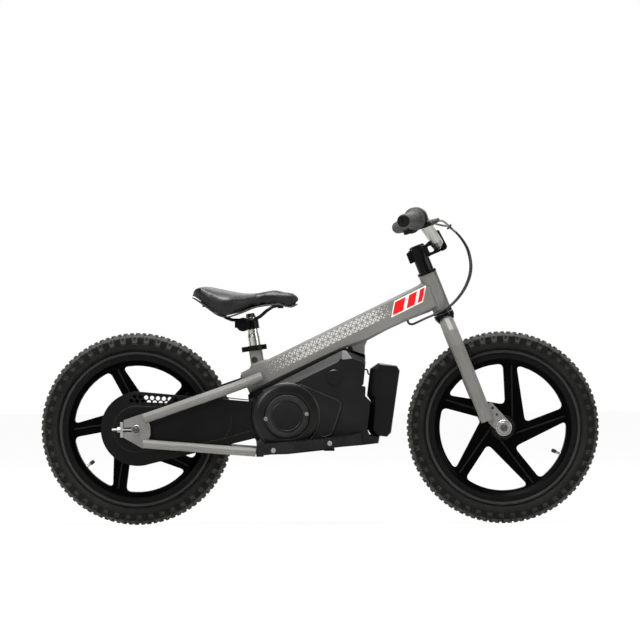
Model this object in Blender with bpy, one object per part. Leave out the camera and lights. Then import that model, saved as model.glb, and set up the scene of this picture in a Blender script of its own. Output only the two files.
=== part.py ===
"""Electric balance bike, modelled as separate named pieces in metres.

X points forward, Y to the rider's left and Z up. The origin is on the ground, midway between the axles.
The steering pieces are modelled in a frame of their own: its Z runs up the steering axis and its X forward.
"""

import math

import bmesh
import bpy
from mathutils import Matrix, Vector

# Running gaps
GAP = 0.0003
SHAFT_GAP = 0.0004

# Wheels
WHEELBASE = 0.772
TYRE_RADIUS = 0.203
TYRE_HALF_WIDTH = 0.027
TREAD_HALF_WIDTH = 0.0125
TYRE_SEGMENTS = 32
TYRE_HEIGHT = 0.043
RIM_RADIUS = TYRE_RADIUS - TYRE_HEIGHT
RIM_HALF_WIDTH = 0.0195
RIM_FLANGE_THICKNESS = 0.0026
RIM_WELL_DEPTH = 0.0106
RIM_FACE_DEPTH = 0.016
RIM_FACE_RADIUS = RIM_RADIUS - RIM_FACE_DEPTH
RIM_DEPTH = 0.026
RIM_INNER_RADIUS = RIM_RADIUS - RIM_DEPTH
RIM_INNER_HALF_WIDTH = 0.012
RIM_SEGMENTS = 28
ARM_COUNT = 5
ARM_HALF_DEPTH = 0.008
RIB_HALF_DEPTH = 0.0125
OPENING_HUB_RADIUS = 0.0482
OPENING_CORNER = 0.010
HUB_RADIUS = 0.024
FRONT_HUB_HALF = 0.0430
REAR_HUB_HALF = 0.0360
FRONT_ARM_ANGLE = 83.2
REAR_ARM_ANGLE = 109.0

# Steering line and fork
HEAD_LOW = (0.2585, 0.4523)
HEAD_TILT = 21.7
HEAD_LENGTH = 0.0807
HEAD_TUBE_RADIUS = 0.0195
HEAD_BORE_RADIUS = 0.0170
STEERER_RADIUS = 0.0143
STEERER_BORE = 0.0112
CUP_RADIUS = 0.0208
UPPER_CUP_HEIGHT = 0.0068
LOWER_CUP_HEIGHT = 0.0080
CUP_SKIRT = 0.010
FORK_LEG_Y = 0.046
FORK_LEG_RADIUS_TOP = 0.0150
FORK_LEG_RADIUS_LOW = 0.0140
FORK_LEG_END = 0.2525
FORK_BEND_START = 0.080
CROWN_TOP = 0.0095
FORK_PLATE_THICKNESS = 0.005
FORK_EYE_RADIUS = 0.0174
FRONT_AXLE_RADIUS = 0.0042
FRONT_NUT_RADIUS = 0.0082
WASHER_RADIUS = 0.0165

# Stem and handlebar
SPACER_RADIUS = 0.0165
STEM_LOW = 0.1140
STEM_HEIGHT = 0.0265
STEM_CLAMP_RADIUS = 0.0205
STEM_HALF_WIDTH = 0.0175
STEM_REACH = 0.0437
BAR_CLAMP_HEIGHT = 0.1324
FACEPLATE_LOW = 0.1140
FACEPLATE_HIGH = 0.1590
FACEPLATE_FRONT = 0.0600
BAR_RADIUS = 0.0111
BAR_HALF_WIDTH = 0.262
BAR_CLAMP_HALF = 0.032
BAR_BEND_Y = 0.085
BAR_RISE = 0.0620
BAR_BEND_BACK = 0.0120
BAR_SWEEP = 14.6
BAR_UPSWEEP = 1.7
GRIP_INNER_Y = 0.158
GRIP_RADIUS = 0.0155
GRIP_END_RADIUS = 0.0125
GRIP_FLANGE_RADIUS = 0.0245
GRIP_CAP = 0.004
LEVER_PIVOT_FORWARD = 0.030
LEVER_PIVOT_Y = 0.122
LEVER_LENGTH = 0.098
LEVER_TILT = 32.0
LEAD_EXIT = (0.027, -0.0200, -0.016)
BARREL_END = -0.026

# Frame
TUBE_HALF_WIDTH = 0.021
TUBE_EDGE = 0.008
TUBE_WALL = 0.0022
SEAT_TUBE_LEAN = 8.0
SEAT_TUBE_FOOT = (-0.1345, 0.359)
SEAT_TUBE_TOP = 0.379
SEAT_TUBE_RADIUS = 0.0142
SEAT_POST_RADIUS = 0.0125
SPINE_HALF_WIDTH = 0.004
STAY_Y = 0.063
SEATSTAY_RADIUS = 0.0105
CHAINSTAY_RADIUS = 0.0095
DROPOUT_THICKNESS = 0.006
DROPOUT_Y = 0.060
SLOT_HEIGHT = 0.0096
REAR_AXLE_RADIUS = 0.0046
REAR_COLLAR_RADIUS = 0.008
REAR_NUT_RADIUS = 0.0105

CRADLE_TOP = 0.1635
CRADLE_FRONT_TOP = 0.1608
CRADLE_FRONT_LOW = 0.1572
CRADLE_REACH = 0.0755
CABLE_ENTRY = (0.1862, -0.0047)
REAR_CABLE_HOLE = (-0.090, 0.322)

# Seat
SEAT_PIVOT = (-0.1616, 0.4227)
RAIL_ABOVE_PIVOT = 0.0093
POST_LOW = SEAT_PIVOT[1] - 0.1227
POST_SWAGE = SEAT_PIVOT[1] - 0.0227
POST_NECK_RADIUS = 0.0110
POST_TOP = SEAT_PIVOT[1] + RAIL_ABOVE_PIVOT
POST_TIP = SEAT_PIVOT[1] + 0.0233
SEAT_DISC_RADIUS = 0.0146
RAIL_RADIUS = 0.0034
RAIL_Y = 0.022
SADDLE_SHELL = 0.003

# Drive, case and battery
MOTOR_CENTRE = (-0.0694, 0.2295)
MOTOR_RADIUS = 0.046
CASE_ROUND_RADIUS = 0.074
CASE_HALF_WIDTH = 0.058
CASE_WALL = 0.003
CASE_SHOULDER_Y = 0.046
COVER_RADIUS = 0.0715
COVER_DEPTH = 0.0105
COVER_CAP_RADIUS = 0.033
KNOB_CENTRE = (0.0294, 0.3106)
KNOB_RADIUS = 0.0167
KNOB_HEIGHT = 0.010
CHAIN_Y = -0.042
CHAIN_WIDTH = 0.006
CHAIN_THICKNESS = 0.005
REAR_SPROCKET_RADIUS = 0.048
MOTOR_SPROCKET_RADIUS = 0.0195
MOTOR_SHAFT_RADIUS = 0.005
GUARD_CENTRE = (-0.3830, 0.2045)
GUARD_RADIUS = 0.078
GUARD_OUTER_Y = -0.051
GUARD_INNER_Y = -0.0315
GUARD_WALL = 0.002
GUARD_HOLE_RADIUS = 0.0044
GUARD_HOLE_PITCH = 0.0124
BATTERY_HALF_WIDTH = 0.040
BATTERY_WALL = 0.0025
DISC_RADIUS = 0.058
DISC_Y = 0.039
DISC_THICKNESS = 0.0018

# Footrests
FOOTREST_HEIGHT = 0.0235
FOOTREST_OUTER_Y = 0.105
FOOTREST_INNER_Y = 0.0590
FOOTREST_END_Y = 0.0800
FOOTREST_WALL = 0.003
TOOTH_COUNT = 17
TOOTH_PITCH = 0.0082

# Cables
CABLE_RADIUS = 0.0024

# Colour, roughness and metallic value of each finish
FINISHES = {
    "grey_paint": ((0.19, 0.19, 0.175), 0.35, 0.3),
    "black_paint": ((0.012, 0.012, 0.013), 0.35, 0.2),
    "black_plastic": ((0.018, 0.018, 0.018), 0.55, 0.0),
    "rubber": ((0.016, 0.016, 0.016), 0.8, 0.0),
    "leather": ((0.02, 0.02, 0.021), 0.6, 0.0),
    "steel": ((0.55, 0.55, 0.56), 0.3, 1.0),
    "bar_grey": ((0.30, 0.29, 0.28), 0.3, 0.9),
    "cable": ((0.01, 0.01, 0.01), 0.5, 0.0),
    "cell_wrap": ((0.05, 0.12, 0.25), 0.5, 0.0),
}


def clear_scene():
    for obj in list(bpy.data.objects):
        bpy.data.objects.remove(obj)


def make_material(name, finish):
    colour, roughness, metallic = FINISHES[finish]
    material = bpy.data.materials.new(name)
    material.use_nodes = True
    material.diffuse_color = (*colour, 1.0)
    shader = material.node_tree.nodes["Principled BSDF"]
    shader.inputs["Base Color"].default_value = (*colour, 1.0)
    shader.inputs["Roughness"].default_value = roughness
    shader.inputs["Metallic"].default_value = metallic
    return material


def make_frame(name, location, rotation=(0.0, 0.0, 0.0), parent=None):
    """An empty that carries pieces, such as the one on a joint's axis."""
    empty = bpy.data.objects.new(name, None)
    empty.empty_display_size = 0.05
    empty.location = location
    empty.rotation_euler = rotation
    empty.parent = parent
    bpy.context.collection.objects.link(empty)
    return empty


def mesh_object(name, shape, frame):
    points, faces = shape
    mesh = bpy.data.meshes.new(name)
    mesh.from_pydata([tuple(p) for p in points], [], faces)
    bm = bmesh.new()
    bm.from_mesh(mesh)
    bmesh.ops.recalc_face_normals(bm, faces=bm.faces)
    bm.to_mesh(mesh)
    bm.free()
    obj = bpy.data.objects.new(name, mesh)
    obj.parent = frame
    bpy.context.collection.objects.link(obj)
    return obj


def add_piece(name, shape, finish, frame=None, sharp=35.0):
    """A node: one closed solid with its own material."""
    obj = mesh_object(name, shape, frame)
    obj.data.materials.append(make_material(name, finish))
    obj.data.shade_smooth()
    obj.data.set_sharp_from_angle(angle=math.radians(sharp))
    return obj


def combine(obj, operation, label, shape):
    """Adds a hidden helper solid and a Boolean that joins or cuts it."""
    helper = mesh_object(obj.name + "_" + label, shape, obj.parent)
    helper.hide_render = True
    helper.display_type = "WIRE"
    modifier = obj.modifiers.new(label, "BOOLEAN")
    modifier.operation = operation
    modifier.solver = "EXACT"
    modifier.object = helper


def fuse(obj, label, *shapes):
    for index, shape in enumerate(shapes):
        combine(obj, "UNION", f"{label}_{index}", shape)


def cut(obj, label, *shapes):
    combine(obj, "DIFFERENCE", label, together(*shapes))


def together(*shapes):
    """Shapes that don't touch, as one list of points and faces."""
    points = []
    faces = []
    for shape_points, shape_faces in shapes:
        start = len(points)
        points += list(shape_points)
        faces += [tuple(start + i for i in face) for face in shape_faces]
    return points, faces


def moved(shape, matrix):
    return [matrix @ Vector(p) for p in shape[0]], shape[1]


def mirrored(shape):
    """The shape on the other side of the bike's middle plane."""
    points, faces = shape
    return [(p[0], -p[1], p[2]) for p in points], [tuple(reversed(face)) for face in faces]


def loft(rings):
    """A closed solid through rings of equally many points, with flat ends."""
    count = len(rings[0])
    points = [p for ring in rings for p in ring]
    faces = []
    for ring in range(len(rings) - 1):
        for i in range(count):
            j = (i + 1) % count
            a = ring * count
            b = a + count
            faces.append((a + i, a + j, b + j, b + i))
    faces.append(tuple(reversed(range(count))))
    faces.append(tuple(range(len(points) - count, len(points))))
    return points, faces


def slab(outline, low, high):
    """A solid across Y with the same outline of X and Z at both ends."""
    return loft([[(x, y, z) for x, z in outline] for y in (low, high)])


def layers(stack):
    """A solid across Y through outlines of X and Z, given with the Y of each."""
    return loft([[(x, y, z) for x, z in outline] for y, outline in stack])


def box(low, high):
    (x0, y0, z0), (x1, y1, z1) = low, high
    return slab([(x0, z0), (x1, z0), (x1, z1), (x0, z1)], y0, y1)


def turned(profile, steps, axis="Y", centre=(0.0, 0.0, 0.0), closed=False, phase=0.0):
    """A solid of revolution. The profile lists radius and place along the axis."""
    points = []
    for radius, along in profile:
        for i in range(steps):
            angle = phase + 2 * math.pi * i / steps
            u = radius * math.cos(angle)
            v = radius * math.sin(angle)
            local = {"X": (along, u, v), "Y": (u, along, v), "Z": (u, v, along)}[axis]
            points.append(Vector(local) + Vector(centre))
    faces = []
    rows = len(profile)
    for row in range(rows if closed else rows - 1):
        a = row * steps
        b = (row + 1) % rows * steps
        for i in range(steps):
            j = (i + 1) % steps
            faces.append((a + i, a + j, b + j, b + i))
    if not closed:
        faces.append(tuple(reversed(range(steps))))
        faces.append(tuple(range((rows - 1) * steps, rows * steps)))
    return points, faces


def rod(radius, low, high, steps=14, axis="Y", centre=(0.0, 0.0, 0.0), phase=0.0):
    return turned([(radius, low), (radius, high)], steps, axis, centre, False, phase)


def swept(path, radii, sides=12, flatten=1.0):
    """A round tube along a path, with a radius at each point and square ends."""
    path = [Vector(p) for p in path]
    if not isinstance(radii, (list, tuple)):
        radii = [radii] * len(path)
    rings = []
    side = None
    for i, point in enumerate(path):
        before = path[max(i - 1, 0)]
        after = path[min(i + 1, len(path) - 1)]
        along = (after - before).normalized()
        if side is None:
            side = along.orthogonal().normalized()
        side = (side - along * side.dot(along)).normalized()
        across = along.cross(side)
        ring = []
        for k in range(sides):
            angle = 2 * math.pi * k / sides
            offset = side * math.cos(angle) + across * math.sin(angle) * flatten
            ring.append(point + offset * radii[i])
        rings.append(ring)
    return loft(rings)


def smooth_route(points, steps):
    """Points of a smooth curve through the given points."""
    points = [Vector(p) for p in points]
    route = []
    for i in range(len(points) - 1):
        p0 = points[max(i - 1, 0)]
        p1 = points[i]
        p2 = points[i + 1]
        p3 = points[min(i + 2, len(points) - 1)]
        for k in range(steps):
            t = k / steps
            route.append(
                0.5
                * (
                    2 * p1
                    + (p2 - p0) * t
                    + (2 * p0 - 5 * p1 + 4 * p2 - p3) * t * t
                    + (3 * p1 - p0 - 3 * p2 + p3) * t * t * t
                )
            )
    route.append(points[-1])
    return route


def arc(centre, radius, start, end, count):
    """Points of an arc in X and Z, with angles in degrees."""
    found = []
    for i in range(count):
        angle = math.radians(start + (end - start) * i / (count - 1))
        found.append((centre[0] + radius * math.cos(angle), centre[1] + radius * math.sin(angle)))
    return found


def grown(outline, distance):
    """The outline moved outwards by a distance, or inwards where it is negative."""
    area = 0.0
    count = len(outline)
    for i in range(count):
        x0, z0 = outline[i]
        x1, z1 = outline[(i + 1) % count]
        area += x0 * z1 - x1 * z0
    sign = 1.0 if area > 0 else -1.0
    result = []
    for i in range(count):
        before = Vector(outline[i]) - Vector(outline[i - 1])
        after = Vector(outline[(i + 1) % count]) - Vector(outline[i])
        before.normalize()
        after.normalize()
        normal = Vector((before.y + after.y, -before.x - after.x)) * sign
        normal.normalize()
        straight = Vector((before.y, -before.x)) * sign
        reach = distance / max(normal.dot(straight), 0.45)
        result.append((outline[i][0] + normal.x * reach, outline[i][1] + normal.y * reach))
    return result


def rounded(corners, radius, count=4):
    """An outline with each corner cut back to a rounded one."""
    outline = []
    total = len(corners)
    for i in range(total):
        here = Vector(corners[i])
        to_last = (Vector(corners[i - 1]) - here)
        to_next = (Vector(corners[(i + 1) % total]) - here)
        half = to_last.angle(to_next) / 2
        back = min(radius / math.tan(half), 0.45 * to_last.length, 0.45 * to_next.length)
        start = here + to_last.normalized() * back
        end = here + to_next.normalized() * back
        for k in range(count + 1):
            t = k / count
            point = start * (1 - t) ** 2 + here * 2 * t * (1 - t) + end * t * t
            outline.append((point.x, point.y))
    return outline


# Wheels, modelled about their own axle


def rim_shape():
    """The hoop that holds the tyre: a well between two flanges, with sloped inner faces."""
    well = RIM_RADIUS - RIM_WELL_DEPTH
    seat = RIM_HALF_WIDTH - RIM_FLANGE_THICKNESS
    half = [
        (well, seat),
        (RIM_RADIUS, seat),
        (RIM_RADIUS, RIM_HALF_WIDTH),
        (RIM_FACE_RADIUS, RIM_HALF_WIDTH),
        (RIM_INNER_RADIUS, RIM_INNER_HALF_WIDTH),
    ]
    profile = half + [(radius, -y) for radius, y in reversed(half)]
    return turned(profile, RIM_SEGMENTS, closed=True)


def polar(radius, degrees):
    angle = math.radians(degrees)
    return (radius * math.cos(angle), radius * math.sin(angle))


def wheel_openings(first_angle):
    """One cutter for each gap between two arms, a triangle with a curved outer side."""
    shapes = []
    pitch = 360.0 / ARM_COUNT
    reach = RIM_INNER_RADIUS - 0.001
    for arm in range(ARM_COUNT):
        start = first_angle + pitch * arm + 6.4
        end = first_angle + pitch * (arm + 1) - 6.0
        corner_turn = math.degrees(OPENING_CORNER / reach)
        rim_side = arc((0.0, 0.0), reach, start + corner_turn, end - corner_turn, 4)
        hub_corner = polar(OPENING_HUB_RADIUS, first_angle + pitch * arm + 0.9)
        first_side = (Vector(hub_corner) - Vector(polar(reach, start))).normalized()
        last_side = (Vector(hub_corner) - Vector(polar(reach, end))).normalized()
        first_low = Vector(polar(reach, start)) + first_side * OPENING_CORNER
        last_low = Vector(polar(reach, end)) + last_side * OPENING_CORNER
        hub_first = Vector(hub_corner) - first_side * OPENING_CORNER
        hub_last = Vector(hub_corner) - last_side * OPENING_CORNER
        hub_mid = (hub_first + hub_last) / 4 + Vector(hub_corner) / 2
        outline = [tuple(first_low), tuple((first_low + Vector(rim_side[0])) / 4 + Vector(polar(reach, start)) / 2)]
        outline += rim_side
        outline += [tuple((last_low + Vector(rim_side[-1])) / 4 + Vector(polar(reach, end)) / 2), tuple(last_low)]
        outline += [tuple(hub_last), tuple(hub_mid), tuple(hub_first)]
        shapes.append(slab(outline, -0.03, 0.03))
    return together(*shapes)


def add_rim(name, first_angle, axle_radius, hub_half, frame):
    web = rod(RIM_INNER_RADIUS + 0.002, -ARM_HALF_DEPTH, ARM_HALF_DEPTH, RIM_SEGMENTS)
    rim = add_piece(name, web, "black_paint", frame)
    cut(rim, "openings", wheel_openings(first_angle))
    fuse(rim, "hoop", rim_shape())
    hub = [
        (HUB_RADIUS - 0.004, -hub_half),
        (HUB_RADIUS + 0.006, -RIB_HALF_DEPTH - 0.001),
        (HUB_RADIUS + 0.006, RIB_HALF_DEPTH + 0.001),
        (HUB_RADIUS - 0.004, hub_half),
    ]
    fuse(rim, "hub", turned(hub, 16))
    cut(rim, "bore", rod(axle_radius + SHAFT_GAP, -0.08, 0.08, 12))
    return rim


def add_tyre(name, frame):
    """A tyre whose flats stand at its radius, with one flat on the ground."""
    inner = RIM_RADIUS - RIM_WELL_DEPTH + 0.0006
    bead = RIM_HALF_WIDTH - RIM_FLANGE_THICKNESS - GAP
    half = [
        (TYRE_RADIUS, TREAD_HALF_WIDTH),
        (TYRE_RADIUS - 0.0150, TYRE_HALF_WIDTH - 0.0020),
        (RIM_RADIUS + 0.0160, TYRE_HALF_WIDTH),
        (RIM_RADIUS + 0.0008, bead),
        (inner, bead),
    ]
    rows = [(radius, -y) for radius, y in half] + [(radius, y) for radius, y in reversed(half)]
    widen = 1.0 / math.cos(math.pi / TYRE_SEGMENTS)
    phase = -math.pi / 2 - math.pi / TYRE_SEGMENTS
    profile = [(radius * widen, y) for radius, y in rows]
    shape = turned(profile, TYRE_SEGMENTS, closed=True, phase=phase)
    return add_piece(name, shape, "rubber", frame, sharp=40.0)


# Steering pieces: X forward of the steering axis, Z up along it from the head tube's lower end


def fork_line():
    """The fork legs and crown as one bent line, from the right leg's end to the left one's."""
    right = [(0.0, -FORK_LEG_Y, -FORK_LEG_END), (0.0, -FORK_LEG_Y, -0.16)]
    bend = []
    rise = FORK_BEND_START - CROWN_TOP - FORK_LEG_RADIUS_TOP
    for i in range(7):
        angle = math.pi * i / 6
        bend.append((0.0, -FORK_LEG_Y * math.cos(angle), -FORK_BEND_START + rise * math.sin(angle)))
    left = [(x, -y, z) for x, y, z in reversed(right)]
    return right + bend + left


def fork_plate_outline(axle):
    """The dropout plate of the fork, round about the axle and cut square inside the leg."""
    x, z = axle
    lower = arc(axle, FORK_EYE_RADIUS, 20.0, -190.0, 9)
    return [(x - 0.022, z + 0.058), (x - 0.006, z + 0.060), (x - 0.0025, z + 0.056)] + lower + [(x - 0.026, z + 0.022)]


def add_fork(frame, axle):
    x, z = axle
    line = fork_line()
    radii = [FORK_LEG_RADIUS_LOW] + [FORK_LEG_RADIUS_TOP] * (len(line) - 2) + [FORK_LEG_RADIUS_LOW]
    fork = add_piece("fork", swept(line, radii, 10), "grey_paint", frame)
    steerer_top = STEM_LOW + STEM_HEIGHT
    fuse(fork, "steerer", rod(STEERER_RADIUS, -0.024, steerer_top, 16, "Z"))
    cut(fork, "steerer_bore", rod(STEERER_BORE, 0.010, steerer_top + 0.01, 14, "Z"))
    fuse(fork, "race", turned([(0.016, -0.026), (CUP_RADIUS, -0.016), (CUP_RADIUS, -LOWER_CUP_HEIGHT - 2 * GAP)], 16, "Z"))
    outline = fork_plate_outline(axle)
    half = FORK_PLATE_THICKNESS / 2
    for side in (-1, 1):
        middle = side * FORK_LEG_Y
        fuse(fork, f"plate{side}", slab(outline, middle - half, middle + half))
    holes = [
        rod(FRONT_AXLE_RADIUS + GAP, -0.06, 0.06, 14, centre=(x, 0.0, z)),
    ]
    cut(fork, "holes", *holes)
    return fork


def add_front_axle(frame, axle):
    x, z = axle
    face = FORK_LEG_Y + FORK_PLATE_THICKNESS / 2 + GAP
    washer = face + 0.0016
    nut_end = washer + 0.0085
    tail = nut_end + 0.004
    profile = [(FRONT_AXLE_RADIUS, -tail), (FRONT_AXLE_RADIUS, tail)]
    centre = (x, 0.0, z)
    piece = add_piece("front_axle", turned(profile, 14, centre=centre), "steel", frame)
    for side in (-1, 1):
        low, high = sorted((side * face, side * washer))
        fuse(piece, f"washer{side}", rod(WASHER_RADIUS, low, high, 18, centre=centre))
        low, high = sorted((side * (washer - 0.0005), side * nut_end))
        fuse(piece, f"nut{side}", rod(FRONT_NUT_RADIUS, low, high, 6, centre=centre))
    return piece


def add_headset(frame):
    """Two cups pressed in the head tube. Their bore clears the steerer."""
    bore = STEERER_RADIUS + SHAFT_GAP
    skirt = HEAD_BORE_RADIUS - GAP
    upper = [
        (bore, HEAD_LENGTH - CUP_SKIRT),
        (skirt, HEAD_LENGTH - CUP_SKIRT),
        (skirt, HEAD_LENGTH + GAP),
        (CUP_RADIUS, HEAD_LENGTH + GAP),
        (CUP_RADIUS - 0.0008, HEAD_LENGTH + UPPER_CUP_HEIGHT),
        (bore, HEAD_LENGTH + UPPER_CUP_HEIGHT),
    ]
    lower = [
        (bore, CUP_SKIRT),
        (skirt, CUP_SKIRT),
        (skirt, -GAP),
        (CUP_RADIUS, -GAP),
        (CUP_RADIUS, -LOWER_CUP_HEIGHT),
        (bore, -LOWER_CUP_HEIGHT),
    ]
    add_piece("headset_cup_upper", turned(upper, 16, "Z", closed=True), "black_paint", frame)
    add_piece("headset_cup_lower", turned(lower, 16, "Z", closed=True), "black_paint", frame)


def add_stem(frame):
    """A one-piece stem with a window between the steerer clamp and the bar clamp."""
    low = HEAD_LENGTH + UPPER_CUP_HEIGHT + GAP
    bore = STEERER_RADIUS + GAP
    spacer = [(bore, low), (SPACER_RADIUS, low), (SPACER_RADIUS, STEM_LOW - GAP), (bore, STEM_LOW - GAP)]
    add_piece("steerer_spacer", turned(spacer, 16, "Z", closed=True), "black_paint", frame)
    high = STEM_LOW + STEM_HEIGHT
    stem = add_piece("stem", rod(STEM_CLAMP_RADIUS, STEM_LOW, high, 16, "Z"), "black_paint", frame)
    middle = STEM_HALF_WIDTH
    outline = rounded(
        [(-0.026, STEM_LOW), (-0.012, STEM_LOW), (-0.012, high), (-0.026, high - 0.003)], 0.002, 2
    )
    fuse(stem, "ears", slab(outline, -0.012, 0.012))
    seam = STEM_REACH + 0.0005
    neck = rounded(
        [
            (0.008, STEM_LOW + 0.0005),
            (seam, FACEPLATE_LOW + 0.001),
            (seam, BAR_CLAMP_HEIGHT + 0.013),
            (0.026, high + 0.003),
            (0.0178, high - 0.0004),
            (0.008, high - 0.0005),
        ],
        0.003,
        2,
    )
    fuse(stem, "neck", slab(neck, -middle, middle))
    window = rounded(
        [
            (0.0205, STEM_LOW + 0.0065),
            (0.0330, STEM_LOW + 0.0075),
            (0.0285, STEM_LOW + 0.0205),
            (0.0205, STEM_LOW + 0.0205),
        ],
        0.003,
        2,
    )
    cut(stem, "window", slab(window, -0.03, 0.03))
    bar = rod(BAR_RADIUS + GAP, -0.05, 0.05, 24, centre=(STEM_REACH, 0.0, BAR_CLAMP_HEIGHT))
    cut(stem, "bar", bar)
    cut(stem, "bore", rod(bore, STEM_LOW - 0.01, high + 0.02, 16, "Z"))
    cut(stem, "split", box((-0.04, -0.001, STEM_LOW - 0.01), (0.0, 0.001, high + 0.02)))
    plate_outline = rounded(
        [
            (seam + GAP, FACEPLATE_LOW),
            (FACEPLATE_FRONT - 0.004, FACEPLATE_LOW + 0.001),
            (FACEPLATE_FRONT, FACEPLATE_LOW + 0.006),
            (FACEPLATE_FRONT - 0.004, FACEPLATE_HIGH),
            (FACEPLATE_FRONT - 0.010, FACEPLATE_HIGH),
            (seam + GAP, BAR_CLAMP_HEIGHT + 0.017),
        ],
        0.003,
        2,
    )
    plate = add_piece("stem_faceplate", slab(plate_outline, -0.024, 0.024), "black_paint", frame)
    cut(plate, "bar", bar)
    cap_top = high + 0.0055
    plug = STEERER_BORE - GAP
    cap = [(plug, high - 0.008), (plug, high + GAP), (0.0165, high + GAP), (0.0165, cap_top - 0.002), (0.013, cap_top)]
    add_piece("top_cap", turned(cap, 16, "Z"), "black_paint", frame)


def bar_grip_line(side):
    """Where the bar's straight outer part starts, and its direction outwards."""
    sweep = math.radians(BAR_SWEEP)
    rise = math.radians(BAR_UPSWEEP)
    start = Vector((STEM_REACH - BAR_BEND_BACK, side * BAR_BEND_Y, BAR_CLAMP_HEIGHT + BAR_RISE))
    along = Vector((-math.sin(sweep), side * math.cos(sweep) * math.cos(rise), math.sin(rise)))
    return start, along.normalized()


def on_grip(side, y):
    """The point of the bar's axis at this distance from the middle."""
    start, along = bar_grip_line(side)
    return start + along * ((y - BAR_BEND_Y) / abs(along.y))


def grip_matrix(side, y):
    """A frame on the bar's axis: Z outwards along the grip, X forward."""
    origin = on_grip(side, y)
    outward = bar_grip_line(side)[1]
    forward = (Vector((1, 0, 0)) - outward * outward.x).normalized()
    across = outward.cross(forward)
    matrix = Matrix.Identity(4)
    for row in range(3):
        matrix[row][0] = forward[row]
        matrix[row][1] = across[row]
        matrix[row][2] = outward[row]
        matrix[row][3] = origin[row]
    return matrix


def add_handlebar(frame):
    half = []
    half.append(Vector((STEM_REACH, BAR_CLAMP_HALF - 0.012, BAR_CLAMP_HEIGHT)))
    half.append(Vector((STEM_REACH, BAR_CLAMP_HALF, BAR_CLAMP_HEIGHT + 0.001)))
    low = Vector((STEM_REACH, BAR_CLAMP_HALF, BAR_CLAMP_HEIGHT))
    high, outward = bar_grip_line(1)
    climb = (high - low).normalized()
    half.append(low + climb * 0.012)
    half.append(high - climb * 0.016)
    half.append(high - climb * 0.004 + outward * 0.003)
    half.append(high + outward * 0.012)
    half.append(on_grip(1, BAR_HALF_WIDTH - GRIP_CAP - 0.001))
    points = [Vector((p.x, -p.y, p.z)) for p in reversed(half)] + half
    add_piece("handlebar", swept(points, BAR_RADIUS, 12), "bar_grey", frame)


def grip_shape(start, end, flange_thickness):
    """A grip along Z with a flange at its inner end and a closed outer end."""
    bore = BAR_RADIUS + SHAFT_GAP
    return turned(
        [
            (bore, start),
            (GRIP_FLANGE_RADIUS, start),
            (GRIP_FLANGE_RADIUS, start + flange_thickness),
            (GRIP_RADIUS + 0.002, start + flange_thickness + 0.002),
            (GRIP_RADIUS, start + 0.020),
            (GRIP_RADIUS - 0.0008, end - 0.020),
            (GRIP_END_RADIUS, end),
            (bore, end),
        ],
        14,
        "Z",
        closed=True,
    )


def grip_length():
    return (on_grip(1, BAR_HALF_WIDTH) - on_grip(1, GRIP_INNER_Y)).length


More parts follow.
